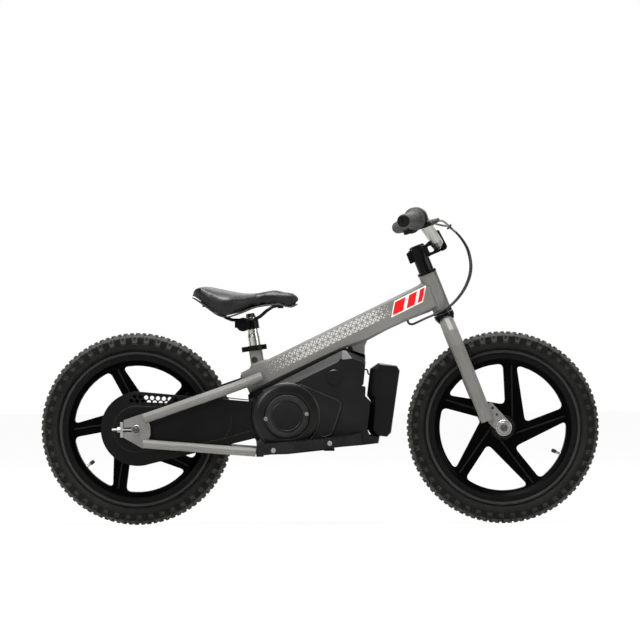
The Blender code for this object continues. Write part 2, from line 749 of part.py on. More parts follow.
def add_controls(steering, throttle, lever):
    """Throttle housing and grip on the right; grip, lever clamp and brake lever on the left."""
    right = grip_matrix(-1, GRIP_INNER_Y)
    left = grip_matrix(1, GRIP_INNER_Y)
    to_throttle = throttle.matrix_local.inverted()
    grip = moved(grip_shape(0.0, grip_length(), 0.005), to_throttle @ right)
    add_piece("throttle_grip", grip, "rubber", throttle)
    grip = moved(grip_shape(0.0, grip_length(), 0.005), left)
    add_piece("grip_left", grip, "rubber", steering)
    bore = BAR_RADIUS + GAP
    body = turned(
        [
            (bore, -0.030),
            (GRIP_RADIUS + 0.003, -0.030),
            (GRIP_FLANGE_RADIUS + 0.0005, -0.022),
            (GRIP_FLANGE_RADIUS + 0.0005, -GAP),
            (bore, -GAP),
        ],
        14,
        "Z",
        closed=True,
    )
    housing = add_piece("throttle_housing", moved(body, right), "black_plastic", steering)
    block = box((-0.040, -0.0300, -0.028), (0.012, -0.0145, -0.0045))
    fuse(housing, "block", moved(block, right))
    barrel = rod(0.0050, 0.006, LEAD_EXIT[0], 12, "X", centre=(0.0, LEAD_EXIT[1], LEAD_EXIT[2]))
    fuse(housing, "barrel", moved(barrel, right))
    tilt = Matrix.Rotation(math.radians(LEVER_TILT), 4, "Z")
    clamp_y = LEVER_PIVOT_Y
    clamp = grip_matrix(1, clamp_y) @ tilt
    ring = turned(
        [(bore, -0.008), (BAR_RADIUS + 0.0055, -0.008), (BAR_RADIUS + 0.0055, 0.010), (bore, 0.010)],
        16,
        "Z",
        closed=True,
    )
    perch = add_piece("lever_clamp", moved(ring, clamp), "black_paint", steering)
    arm = box((0.0143, -0.0072, -0.0095), (LEVER_PIVOT_FORWARD + 0.008, 0.0072, 0.0095))
    fuse(perch, "arm", moved(arm, clamp))
    barrel = rod(0.0055, BARREL_END, -0.006, 12, "Z", centre=(LEVER_PIVOT_FORWARD - 0.004, 0.0, 0.0))
    fuse(perch, "barrel", moved(barrel, clamp))
    slot = box((0.0215, -0.0040, -0.020), (LEVER_PIVOT_FORWARD + 0.02, 0.0040, 0.02))
    cut(perch, "slot", moved(slot, clamp))
    pin_bore = rod(0.0024, -0.012, 0.012, 12, "Y", centre=(LEVER_PIVOT_FORWARD, 0.0, 0.002))
    cut(perch, "pin_bore", moved(pin_bore, clamp))
    to_lever = lever.matrix_local.inverted() @ clamp
    blade = swept(
        [
            (LEVER_PIVOT_FORWARD, 0.0, -0.0015),
            (LEVER_PIVOT_FORWARD + 0.001, 0.0, 0.006),
            (LEVER_PIVOT_FORWARD + 0.009, 0.0, 0.018),
            (LEVER_PIVOT_FORWARD + 0.015, 0.0, 0.038),
            (LEVER_PIVOT_FORWARD + 0.013, 0.0, 0.066),
            (LEVER_PIVOT_FORWARD + 0.015, 0.0, LEVER_LENGTH - 0.004),
            (LEVER_PIVOT_FORWARD + 0.018, 0.0, LEVER_LENGTH),
        ],
        [0.0034, 0.0034, 0.0034, 0.0036, 0.0040, 0.0042, 0.0030],
        10,
    )
    piece = add_piece("brake_lever", moved(blade, to_lever), "black_paint", lever)
    pin = rod(0.0020, -0.0090, 0.0090, 12, "Y", centre=(LEVER_PIVOT_FORWARD, 0.0, 0.002))
    fuse(piece, "pin", moved(pin, to_lever))


# Main frame


def on_line(start, end, x):
    """The height of a straight edge at this X."""
    share = (x - start[0]) / (end[0] - start[0])
    return start[1] + share * (end[1] - start[1])


TUBE_TOP = [(-0.1085, 0.3490), (0.2070, 0.5031)]
TUBE_UNDER = [(0.0477, 0.3692), (-0.1440, 0.2795)]


def tube_outline():
    """The deep top tube, seen from the side, with its raised rear corner."""
    return [
        TUBE_TOP[0],
        TUBE_TOP[1],
        (0.2145, 0.5085),
        (0.2350, 0.5020),
        (0.2530, 0.4580),
        (0.2312, 0.4468),
        (0.1906, 0.4315),
        (0.1424, 0.4096),
        (0.0989, 0.3868),
        TUBE_UNDER[0],
        TUBE_UNDER[1],
        (-0.1564, 0.2903),
        (-0.1680, 0.3130),
        (-0.1660, 0.3205),
        (-0.1484, 0.3300),
        (-0.1440, 0.3400),
        (-0.1200, 0.3480),
    ]


def seat_axis_point(z):
    x, foot = SEAT_TUBE_FOOT
    return (x - (z - foot) * math.tan(math.radians(SEAT_TUBE_LEAN)), 0.0, z)


def along_seat(shape):
    """A shape modelled up Z from the seat tube's foot, leant back with it."""
    x, z = SEAT_TUBE_FOOT
    lean = Matrix.Rotation(math.radians(-SEAT_TUBE_LEAN), 4, "Y")
    return moved(shape, Matrix.Translation((x, 0.0, z)) @ lean)


def seat_along(z):
    """How far up the leaning seat tube this height lies."""
    return (z - SEAT_TUBE_FOOT[1]) / math.cos(math.radians(SEAT_TUBE_LEAN))


def steering_matrix():
    tilt = Matrix.Rotation(math.radians(-HEAD_TILT), 4, "Y")
    return Matrix.Translation((HEAD_LOW[0], 0.0, HEAD_LOW[1])) @ tilt


def add_main_frame():
    """Head tube, top tube, seat tube and the spine plate inside the case, welded as one."""
    outline = tube_outline()
    inner = grown(outline, -TUBE_EDGE * 0.62)
    side = TUBE_HALF_WIDTH
    edge = side - TUBE_EDGE
    stack = [(-side, inner), (-edge, outline), (edge, outline), (side, inner)]
    frame = add_piece("main_frame", layers(stack), "grey_paint")
    wall = TUBE_WALL
    hollow = [(y * (side - wall) / side, grown(shape, -wall)) for y, shape in stack]
    cut(frame, "hollow", layers(hollow))
    fuse(frame, "head_tube", moved(rod(HEAD_TUBE_RADIUS, 0.0, HEAD_LENGTH, 16, "Z"), steering_matrix()))
    seat_tube = along_seat(rod(SEAT_TUBE_RADIUS, seat_along(0.310), seat_along(SEAT_TUBE_TOP), 16, "Z"))
    fuse(frame, "seat_tube", seat_tube)
    spine = [
        (-0.1560, 0.2950),
        (-0.1455, 0.2680),
        (-0.1385, 0.2000),
        (-0.1340, CRADLE_TOP + GAP),
        (-0.1190, CRADLE_TOP + GAP),
        (-0.1180, 0.2200),
        (-0.1150, 0.3050),
    ]
    fuse(frame, "spine", slab(spine, -SPINE_HALF_WIDTH, SPINE_HALF_WIDTH))
    hanger = [(0.0560, 0.3760), (0.0620, 0.3655), (0.0945, 0.3515), (0.0952, 0.3760), (0.1010, 0.3900)]
    fuse(frame, "hanger", slab(hanger, -0.012, 0.012))
    post_bore = rod(SEAT_POST_RADIUS + GAP, seat_along(0.270), seat_along(0.400), 16, "Z")
    head_bore = rod(HEAD_BORE_RADIUS, -0.03, HEAD_LENGTH + 0.03, 16, "Z")
    cut(frame, "bores", along_seat(post_bore), moved(head_bore, steering_matrix()))
    x, y = CABLE_ENTRY
    cut(frame, "cable_entry", rod(0.0080, 0.415, 0.440, 20, "Z", centre=(x, y, 0.0)))
    x, z = REAR_CABLE_HOLE
    cut(frame, "rear_cable_hole", rod(0.0032, 0.012, 0.03, 14, centre=(x, 0.0, z)))
    return frame


def dropout_outline():
    return [
        (-0.4120, 0.2235),
        (-0.3700, 0.2375),
        (-0.3640, 0.2370),
        (-0.3561, 0.2091),
        (-0.3562, 0.1923),
        (-0.3668, 0.1640),
        (-0.3730, 0.1640),
        (-0.4137, 0.1874),
    ]


def seatstay_route():
    """The right seatstay's centre line: level with the dropout, then in to the tube's side."""
    end_y = TUBE_HALF_WIDTH + SEATSTAY_RADIUS + GAP
    return smooth_route(
        [
            (-0.3690, -STAY_Y, 0.2265),
            (-0.3300, -STAY_Y, 0.2398),
            (-0.2800, -STAY_Y, 0.2570),
            (-0.2350, -STAY_Y, 0.2724),
            (-0.2080, -0.0620, 0.2817),
            (-0.1800, -0.0480, 0.2913),
            (-0.1560, -end_y - 0.0035, 0.2999),
            (-0.1220, -end_y, 0.3130),
        ],
        1,
    )


def chainstay_route():
    return smooth_route(
        [
            (-0.3720, -STAY_Y, 0.1740),
            (-0.3383, -STAY_Y, 0.1710),
            (-0.2400, -STAY_Y, 0.1631),
            (-0.1352, -STAY_Y, 0.1545),
        ],
        1,
    )


def add_rear_triangle(side_name, flip):
    """Dropout plate, seatstay and chainstay of one side. The stays are slotted over the plate."""
    half = DROPOUT_THICKNESS / 2
    plate = slab(dropout_outline(), -DROPOUT_Y - half, -DROPOUT_Y + half)
    dropout = add_piece("dropout_" + side_name, flip(plate), "grey_paint")
    axle_x = -WHEELBASE / 2
    low = TYRE_RADIUS - SLOT_HEIGHT / 2
    high = TYRE_RADIUS + SLOT_HEIGHT / 2
    slot = [(-0.43, low), (axle_x + 0.003, low), (axle_x + 0.008, TYRE_RADIUS), (axle_x + 0.003, high), (-0.43, high)]
    cut(dropout, "slot", flip(slab(slot, -0.07, -0.05)))
    slotted = slab(grown(dropout_outline(), GAP), -DROPOUT_Y - half - GAP, -DROPOUT_Y + half + GAP)
    for label, route, radius in (
        ("seatstay_", seatstay_route(), SEATSTAY_RADIUS),
        ("chainstay_", chainstay_route(), CHAINSTAY_RADIUS),
    ):
        stay = add_piece(label + side_name, flip(swept(route, radius, 12)), "grey_paint")
        cut(stay, "plate_slot", flip(slotted))


def add_cradle():
    """Two cross bars and the plate between them, under the case. The stays meet the rear bar."""
    reach = CRADLE_REACH
    rear = box((-0.1340, -reach, 0.1455), (-0.1190, reach, CRADLE_TOP))
    cradle = add_piece("lower_cradle", rear, "black_paint")
    floor = [
        (-0.1250, 0.1480),
        (-0.0694, 0.1490),
        (0.0100, CRADLE_FRONT_LOW),
        (0.0100, CRADLE_FRONT_TOP - 0.0006),
        (-0.0694, 0.1534),
        (-0.1250, 0.1530),
    ]
    fuse(cradle, "plate", slab(floor, -0.030, 0.030))
    front = box((0.0080, -reach, CRADLE_FRONT_LOW), (0.0300, reach, CRADLE_FRONT_TOP))
    fuse(cradle, "front_bar", front)


def add_rear_axle():
    """The axle with its inner collars and end nuts, about the rear wheel's centre."""
    inner = -GUARD_OUTER_Y - 0.0065
    plate_in = DROPOUT_Y - DROPOUT_THICKNESS / 2 - GAP
    plate_out = DROPOUT_Y + DROPOUT_THICKNESS / 2 + GAP
    nut_end = plate_out + 0.0085
    tail = nut_end + 0.005
    centre = (-WHEELBASE / 2, 0.0, TYRE_RADIUS)
    axle = add_piece("rear_axle", rod(REAR_AXLE_RADIUS, -tail, tail, 14, centre=centre), "steel")
    for side in (-1, 1):
        low, high = sorted((side * inner, side * plate_in))
        fuse(axle, f"collar{side}", rod(REAR_COLLAR_RADIUS, low, high, 14, centre=centre))
        low, high = sorted((side * plate_out, side * nut_end))
        fuse(axle, f"nut{side}", rod(REAR_NUT_RADIUS, low, high, 6, centre=centre))


def add_tensioner(side_name, flip):
    """End plate, rod and nut that pull the axle back in its slot."""
    z = TYRE_RADIUS
    end_x = -0.4139
    half = DROPOUT_THICKNESS / 2
    plate = box((end_x - 0.0055, -DROPOUT_Y - half, z - 0.0160), (end_x, -DROPOUT_Y + half, z + 0.0160))
    piece = add_piece("chain_tensioner_" + side_name, flip(plate), "steel")
    screw_end = -WHEELBASE / 2 - REAR_AXLE_RADIUS - GAP
    centre = (0.0, -DROPOUT_Y, z)
    fuse(piece, "screw", flip(rod(0.0025, -0.4366, screw_end, 12, "X", centre)))
    fuse(piece, "nut", flip(rod(0.0062, end_x - 0.0115, end_x - 0.005, 6, "X", centre)))


# Chain drive and its guard


def belt_outline(front, front_radius, rear, rear_radius, count=14):
    """An outline round two circles, with straight sides between them."""
    dx = front[0] - rear[0]
    dz = front[1] - rear[1]
    span = math.hypot(dx, dz)
    heading = math.degrees(math.atan2(dz, dx))
    spread = math.degrees(math.acos((rear_radius - front_radius) / span))
    back = arc(rear, rear_radius, heading + spread, heading + 360.0 - spread, count * 2)
    ahead = arc(front, front_radius, heading - spread, heading + spread, count)
    return back + ahead


def guard_outline():
    """Round about the rear sprocket and narrowing forward to the round end of the case."""
    top_front = (-0.1372, 0.2595)
    low_front = (-0.1305, 0.1850)
    back = arc(GUARD_CENTRE, GUARD_RADIUS, 85.0, 288.0, 17)
    centre_x, centre_z = MOTOR_CENTRE
    start = math.degrees(math.atan2(low_front[1] - centre_z, low_front[0] - centre_x)) % 360.0
    end = math.degrees(math.atan2(top_front[1] - centre_z, top_front[0] - centre_x)) % 360.0
    ahead = arc(MOTOR_CENTRE, CASE_ROUND_RADIUS + 0.0012, start, end, 7)
    return back + ahead


def guard_holes():
    """Two staggered rows of round holes along the guard's upper edge."""
    shapes = []
    slope = math.radians(-4.2)
    for count, start in ((8, (-0.3898, 0.2722)), (7, (-0.3966, 0.2634))):
        for i in range(count):
            x = start[0] + GUARD_HOLE_PITCH * i * math.cos(slope)
            z = start[1] + GUARD_HOLE_PITCH * i * math.sin(slope)
            shapes.append(rod(GUARD_HOLE_RADIUS, GUARD_OUTER_Y - 0.002, -0.046, 6, centre=(x, 0.0, z)))
    return shapes


def add_drive():
    rear = (-WHEELBASE / 2, TYRE_RADIUS)
    inner_side = GUARD_INNER_Y - 0.0022
    outline = guard_outline()
    guard = add_piece("chain_guard_outer", slab(outline, GUARD_OUTER_Y, inner_side), "black_plastic")
    hollow = grown(outline, -GUARD_WALL)
    cut(guard, "hollow", slab(hollow, GUARD_OUTER_Y + GUARD_WALL, inner_side + 0.01))
    axle_hole = rod(REAR_COLLAR_RADIUS + GAP, -0.07, -0.04, 14, centre=(rear[0], 0.0, rear[1]))
    cut(guard, "axle_hole", axle_hole)
    cut(guard, "chain_way", box((-0.1530, -0.0473, 0.1892), (-0.1200, -0.0300, 0.2571)))
    cut(guard, "holes", *guard_holes())
    chain_in = 0.0005
    hub_hole = rod(HUB_RADIUS + 0.003, -0.04, -0.02, 24, centre=(rear[0], 0.0, rear[1]))
    inner_outline = belt_outline((-0.1790, 0.2215), 0.030, rear, REAR_SPROCKET_RADIUS + 0.010, 8)
    inner = add_piece("chain_guard_inner", slab(inner_outline, inner_side + GAP, GUARD_INNER_Y), "black_plastic")
    cut(inner, "hub_hole", hub_hole)
    foot = slab([(-0.300, 0.1446), (-0.160, 0.1784), (-0.160, 0.2150), (-0.300, 0.2150)], inner_side + GAP, GUARD_INNER_Y)
    fuse(inner, "foot", foot)
    y0 = CHAIN_Y - CHAIN_WIDTH / 2
    y1 = CHAIN_Y + CHAIN_WIDTH / 2
    thick = CHAIN_THICKNESS
    loop = belt_outline(
        MOTOR_CENTRE, MOTOR_SPROCKET_RADIUS + chain_in + thick, rear, REAR_SPROCKET_RADIUS + chain_in + thick
    )
    chain = add_piece("drive_chain", slab(loop, y0, y1), "steel")
    gap_outline = belt_outline(
        MOTOR_CENTRE, MOTOR_SPROCKET_RADIUS + chain_in, rear, REAR_SPROCKET_RADIUS + chain_in
    )
    cut(chain, "inside", slab(gap_outline, y0 - 0.01, y1 + 0.01))


def sprocket_shape(radius, teeth, low, high):
    """A toothed wheel about the Y axis. The teeth stay inside the chain."""
    outline = []
    for i in range(teeth):
        for turn, depth in ((0.0, 0.0), (0.3, 0.0), (0.55, 0.0035), (0.75, 0.0035)):
            angle = 2 * math.pi * (i + turn) / teeth
            outline.append(((radius - depth) * math.cos(angle), (radius - depth) * math.sin(angle)))
    return slab(outline, low, high)


def add_rear_sprocket(frame, hub_half):
    thin = 0.0014
    shape = sprocket_shape(REAR_SPROCKET_RADIUS, 12, CHAIN_Y - thin, CHAIN_Y + thin)
    piece = add_piece("rear_sprocket", shape, "steel", frame)
    fuse(piece, "carrier", rod(HUB_RADIUS - 0.005, CHAIN_Y, -hub_half - GAP, 24))
    cut(piece, "bore", rod(REAR_AXLE_RADIUS + SHAFT_GAP, -0.06, -0.02, 20))


def add_motor_sprocket(frame):
    thin = 0.0014
    shape = sprocket_shape(MOTOR_SPROCKET_RADIUS, 8, CHAIN_Y - thin, CHAIN_Y + thin)
    piece = add_piece("motor_sprocket", shape, "steel", frame)
    fuse(piece, "shaft", rod(MOTOR_SHAFT_RADIUS, CHAIN_Y - 0.005, -0.0245, 16))


# Case, motor, battery


def case_outlines():
    """The case from the side: its widest outline, and the smaller one of the flat side face."""
    back = arc(MOTOR_CENTRE, CASE_ROUND_RADIUS, 132.5, 270.0, 12)
    wide = [
        (0.1227, 0.1721),
        (0.1253, 0.1853),
        (0.1045, 0.1880),
        (0.1002, 0.1988),
        (0.1070, 0.2586),
        (0.0953, 0.2705),
        (0.0960, 0.2903),
        (0.0868, 0.2922),
        (0.0916, 0.2960),
        (0.0965, 0.3430),
        (0.0925, 0.3508),
        (0.0550, 0.3672),
        (0.0465, 0.3668),
    ]
    face = [(x - 0.0015, z) for x, z in wide[:9]]
    face += [(0.0945, 0.3370), (0.0905, 0.3420), (0.0676, 0.3505), (0.0474, 0.3480)]
    face_back = [(-0.1120, 0.2704)] + arc(MOTOR_CENTRE, CASE_ROUND_RADIUS, 147.0, 270.0, 11)
    bottom = (0.0897, 0.1685)
    return [bottom] + wide + back, [bottom] + face + face_back


def add_case_half(side_name, flip, spine):
    wide, face = case_outlines()
    stack = [(-CASE_HALF_WIDTH, face), (-CASE_SHOULDER_Y, wide), (-GAP / 2, wide)]
    shell = add_piece("case_" + side_name, flip(layers(stack)), "black_plastic")
    inner_wide = grown(wide, -CASE_WALL)
    inner_face = grown(face, -CASE_WALL - 0.002)
    hollow = [
        (-CASE_HALF_WIDTH + CASE_WALL, inner_face),
        (-CASE_SHOULDER_Y + 0.002, inner_wide),
        (0.01, inner_wide),
    ]
    cut(shell, "hollow", flip(layers(hollow)))
    cut(shell, "spine_slot", flip(spine))
    return shell


def spine_cutter():
    outline = [
        (-0.160, 0.300),
        (-0.150, 0.262),
        (-0.1395, 0.200),
        (-0.1350, 0.150),
        (-0.1180, 0.150),
        (-0.1170, 0.220),
        (-0.1140, 0.310),
    ]
    return slab(outline, -SPINE_HALF_WIDTH - 0.0005, SPINE_HALF_WIDTH + 0.0005)


def add_case():
    spine = spine_cutter()
    right = add_case_half("right", lambda shape: shape, spine)
    chain_way = box((-0.160, -0.0472, 0.1868), (-0.110, -0.0366, 0.2613))
    cut(right, "chain_way", chain_way)
    add_case_half("left", mirrored, spine)
    x, z = MOTOR_CENTRE
    face = -CASE_HALF_WIDTH - GAP
    profile = [
        (COVER_RADIUS, face),
        (COVER_RADIUS, face - 0.0035),
        (COVER_RADIUS - 0.0045, face - 0.0075),
        (0.0500, face - COVER_DEPTH),
        (COVER_CAP_RADIUS + 0.001, face - COVER_DEPTH),
        (COVER_CAP_RADIUS + 0.0005, face - 0.0050),
    ]
    cover = add_piece("motor_cover", turned(profile, 30, centre=(x, 0.0, z)), "black_plastic")
    lobe = [(-0.0650, 0.2980), (-0.0418, 0.2976), (0.0329, 0.2659)]
    lobe += arc((0.0325, 0.2525), 0.0133, 60.0, -20.0, 5)
    lobe += [(0.0343, 0.2137), (0.0254, 0.1911), (0.0050, 0.1850), (-0.0300, 0.1800), (-0.0650, 0.2200)]
    fuse(cover, "lobe", slab(lobe, face - 0.0040, face))
    cap = [
        (COVER_CAP_RADIUS, face - 0.0050 - GAP),
        (COVER_CAP_RADIUS, face - COVER_DEPTH),
        (COVER_CAP_RADIUS - 0.0015, face - COVER_DEPTH - 0.0012),
    ]
    add_piece("motor_cover_cap", turned(cap, 24, centre=(x, 0.0, z)), "black_plastic")
    motor_left = CASE_HALF_WIDTH - CASE_WALL - GAP
    body = [
        (0.030, -0.030),
        (MOTOR_RADIUS - 0.002, -0.029),
        (MOTOR_RADIUS, -0.026),
        (MOTOR_RADIUS, motor_left - 0.004),
        (MOTOR_RADIUS - 0.002, motor_left),
    ]
    motor = add_piece("motor", turned(body, 22, centre=(x, 0.0, z)), "steel")
    cut(motor, "bore", rod(MOTOR_SHAFT_RADIUS + SHAFT_GAP, -0.04, -0.0235, 16, centre=(x, 0.0, z)))
    controller = box((0.0000, -0.0400, 0.2050), (0.0750, CASE_HALF_WIDTH - CASE_WALL - GAP, 0.2750))
    add_piece("controller", controller, "steel")


def add_power_knob(frame):
    """A round knob with a raised bar across it, about its own axis."""
    profile = [
        (KNOB_RADIUS, 0.0),
        (KNOB_RADIUS, -0.0035),
        (KNOB_RADIUS - 0.0015, -0.0050),
        (KNOB_RADIUS - 0.0030, -0.0050),
    ]
    knob = add_piece("power_knob", turned(profile, 24), "black_plastic", frame)
    bar = rounded(
        [(-0.0130, -0.0030), (0.0130, -0.0030), (0.0130, 0.0030), (-0.0130, 0.0030)], 0.0025, 2
    )
    tilted = Matrix.Rotation(math.radians(-30.0), 4, "Y").inverted()
    fuse(knob, "bar", moved(slab(bar, -KNOB_HEIGHT, -0.004), tilted))


def battery_outline():
    return [
        (0.1070, 0.1890),
        (0.1233, 0.1866),
        (0.1407, 0.1846),
        (0.1494, 0.1934),
        (0.1683, 0.3241),
        (0.1623, 0.3345),
        (0.1240, 0.3399),
        (0.1065, 0.3278),
        (0.1052, 0.3192),
        (0.0995, 0.2708),
        (0.1078, 0.2586),
        (0.1010, 0.1988),
    ]


def add_battery():
    outline = battery_outline()
    narrow = [(x + 0.012, z) for x, z in outline[:1]]
    narrow += [(x, z) for x, z in outline[1:6]]
    narrow += [(0.1260, 0.3380), (0.1215, 0.3278), (0.1205, 0.3192), (0.1168, 0.2708), (0.1158, 0.2586), (0.1111, 0.1988)]
    narrow = grown(narrow, -0.0012)
    for side_name, flip in (("right", lambda shape: shape), ("left", mirrored)):
        edge = BATTERY_HALF_WIDTH - 0.009
        stack = [(-BATTERY_HALF_WIDTH, narrow), (-edge, outline), (-GAP / 2, outline)]
        shell = add_piece("battery_shell_" + side_name, flip(layers(stack)), "black_plastic")
        inside = grown(outline, -BATTERY_WALL)
        cut(shell, "hollow", flip(slab(inside, -edge + 0.002, 0.01)))
    cells = grown(outline, -BATTERY_WALL - GAP)
    cell_side = BATTERY_HALF_WIDTH - 0.009 - 0.002 - GAP
    add_piece("battery_cells", slab(cells, -cell_side, cell_side), "cell_wrap")


# Footrests


def add_footrest(side_name, flip):
    """A toothed outer wall with a floor to the case, wider in the middle and rising forward."""
    length = 0.2198
    outer = -FOOTREST_OUTER_Y
    inner = -FOOTREST_INNER_Y
    end = -FOOTREST_END_Y
    rear_bend = 0.079
    front_bend = 0.179
    wall = FOOTREST_WALL
    plan = [(0.0, inner), (0.0, end), (rear_bend, outer), (front_bend, outer), (length, end), (length, inner)]
    body = loft([[(x, y, z) for x, y in plan] for z in (0.0, FOOTREST_HEIGHT)])
    tray = [
        (-0.01, 0.02 + inner),
        (-0.01, end + wall),
        (0.0, end + wall),
        (rear_bend, outer + wall),
        (front_bend, outer + wall),
        (length, end + wall),
        (length + 0.01, end + wall),
        (length + 0.01, 0.02 + inner),
    ]
    low_hollow = loft([[(x, y, z) for x, y in tray] for z in (-0.01, FOOTREST_HEIGHT - 0.0070)])
    high_hollow = loft([[(x, y, z) for x, y in tray] for z in (FOOTREST_HEIGHT - 0.0040, 0.05)])
    place = Matrix.Translation((-0.1308, 0.0, 0.1474)) @ Matrix.Rotation(math.radians(-6.2), 4, "Y")
    piece = add_piece("foot_rest_" + side_name, flip(moved(body, place)), "black_plastic")
    cut(piece, "under", flip(moved(low_hollow, place)))
    cut(piece, "over", flip(moved(high_hollow, place)))
    teeth = []
    for i in range(TOOTH_COUNT):
        x = 0.0660 + TOOTH_PITCH * i
        base = FOOTREST_HEIGHT - 0.0025
        teeth.append(box((x, outer - 0.01, base), (x + TOOTH_PITCH / 2, inner - 0.015, 0.04)))
    cut(piece, "teeth", flip(moved(together(*teeth), place)))
    rear_foot = box((-0.1300, -0.0745, CRADLE_TOP + GAP), (-0.1220, -0.0620, 0.1668))
    front_foot = box((0.0120, -0.0745, CRADLE_FRONT_TOP + GAP), (0.0260, -0.0620, 0.1815))
    if side_name == "right":
        x, z = MOTOR_CENTRE
        cut(piece, "cover_way", rod(COVER_RADIUS + 0.001, -0.0697, -0.05, 28, centre=(x, 0.0, z)))
    fuse(piece, "rear_foot", flip(rear_foot))
    fuse(piece, "front_foot", flip(front_foot))


# Seat: the post pieces are modelled up Z from the seat tube's foot, the saddle about its pivot


def add_seat_collar(frame):
    """The clamp round the top of the seat tube, split at the rear."""
    low = seat_along(0.3675)
    high = seat_along(SEAT_TUBE_TOP) - 0.0008
    inner = SEAT_TUBE_RADIUS + GAP
    ring = turned([(inner, low), (0.0192, low), (0.0192, high), (inner, high)], 16, "Z", closed=True)
    collar = add_piece("seat_collar", ring, "black_paint", frame)
    fuse(collar, "rear_lug", box((-0.0285, -0.0080, low), (-0.0165, 0.0080, high)))
    fuse(collar, "front_lug", box((0.0165, -0.0060, low), (0.0245, 0.0060, high)))
    cut(collar, "split", box((-0.04, -0.0010, low - 0.01), (-0.005, 0.0010, high + 0.01)))


def add_seat_post(frame):
    neck = seat_along(POST_SWAGE)
    shape = turned(
        [
            (SEAT_POST_RADIUS, seat_along(POST_LOW)),
            (SEAT_POST_RADIUS, neck - 0.004),
            (POST_NECK_RADIUS, neck + 0.004),
            (POST_NECK_RADIUS, seat_along(POST_TOP) + 0.006),
            (POST_NECK_RADIUS - 0.0025, seat_along(POST_TIP)),
        ],
        28,
        "Z",
    )
    add_piece("seat_post", shape, "steel", frame)
    low = seat_along(SEAT_PIVOT[1] - 0.0097)
    high = seat_along(SEAT_PIVOT[1] + 0.0083)
    inner = POST_NECK_RADIUS + GAP
    ring = turned([(inner, low), (0.0150, low), (0.0150, high), (inner, high)], 16, "Z", closed=True)
    clamp = add_piece("seat_clamp", ring, "steel", frame)
    x, z = seat_local(SEAT_PIVOT)
    lug = [(x + 0.004, z - 0.0085), (-0.0125, z - 0.0085), (-0.0125, z + 0.0085), (x + 0.004, z + 0.0085)]
    fuse(clamp, "arm", slab(lug, -0.0080, 0.0080))
    fuse(clamp, "eye", rod(0.0088, -0.0154, 0.0154, 14, centre=(x, 0.0, z)))
    cut(clamp, "bolt_hole", rod(0.0033, -0.02, 0.02, 12, centre=(x, 0.0, z)))
    cut(clamp, "bore", rod(inner, low - 0.01, high + 0.01, 16, "Z"))
    bolt = add_piece("clamp_bolt", rod(0.0030, -0.0335, 0.0335, 16, centre=(x, 0.0, z)), "steel", frame)
    for side in (-1, 1):
        low, high = sorted((side * 0.0273, side * 0.0325))
        fuse(bolt, f"head{side}", rod(0.0058, low, high, 6, centre=(x, 0.0, z)))


def seat_local(point):
    """A point of the X and Z plane, in the frame that leans with the seat tube."""
    shifted = Vector((point[0] - SEAT_TUBE_FOOT[0], point[1] - SEAT_TUBE_FOOT[1]))
    lean = math.radians(SEAT_TUBE_LEAN)
    x = shifted.x * math.cos(lean) + shifted.y * math.sin(lean)
    z = -shifted.x * math.sin(lean) + shifted.y * math.cos(lean)
    return x, z


# X and the heights of the crown, the widest line and the lower edge, from the pivot, with the half width
SADDLE_STATIONS = [
    (-0.1084, 0.0653, 0.0613, 0.0573, 0.0250),
    (-0.1004, 0.0803, 0.0773, 0.0533, 0.0420),
    (-0.0884, 0.0823, 0.0773, 0.0453, 0.0540),
    (-0.0734, 0.0806, 0.0643, 0.0343, 0.0620),
    (-0.0544, 0.0773, 0.0523, 0.0208, 0.0660),
    (-0.0354, 0.0731, 0.0468, 0.0153, 0.0675),
    (-0.0014, 0.0664, 0.0488, 0.0253, 0.0540),
    (0.0156, 0.0655, 0.0543, 0.0323, 0.0420),
    (0.0336, 0.0666, 0.0598, 0.0373, 0.0320),
    (0.0686, 0.0724, 0.0633, 0.0410, 0.0230),
    (0.0996, 0.0722, 0.0613, 0.0360, 0.0205),
    (0.1116, 0.0673, 0.0563, 0.0403, 0.0170),
    (0.1206, 0.0583, 0.0513, 0.0463, 0.0090),
]


def pad_section(station):
    """One cross-section of the pad: crowned above, drawn in below and arched underneath."""
    x, crown, crease, edge, half = station
    arch = edge + 0.45 * (crown - edge)
    right = []
    for i in range(6):
        turn = math.pi / 2 * i / 5
        right.append((half * math.sin(turn), crease + (crown - crease) * math.cos(turn) ** 1.2))
    side = [(0.985, 0.70), (0.95, 0.35), (0.90, 0.06), (0.86, 0.0)]
    right += [(half * width, edge + (crease - edge) * rise) for width, rise in side]
    for i in range(1, 6):
        across = 0.82 * (1 - i / 5)
        right.append((half * across, edge + (arch - edge) * (1 - (across / 0.86) ** 2)))
    left = [(-y, z) for y, z in reversed(right[1:-1])]
    return [(x, y, z) for y, z in right + left]


def base_section(station, top):
    """The base under the pad at this station: a curved plate along the arch."""
    x, crown, crease, edge, half = station
    arch = edge + 0.45 * (crown - edge)
    upper = []
    for i in range(6):
        across = -0.72 + 1.44 * i / 5
        z = edge + (arch - edge) * (1 - (across / 0.86) ** 2)
        upper.append((x, half * across, z - top))
    lower = [(px, y * 0.97, z - SADDLE_SHELL) for px, y, z in reversed(upper)]
    return upper + lower


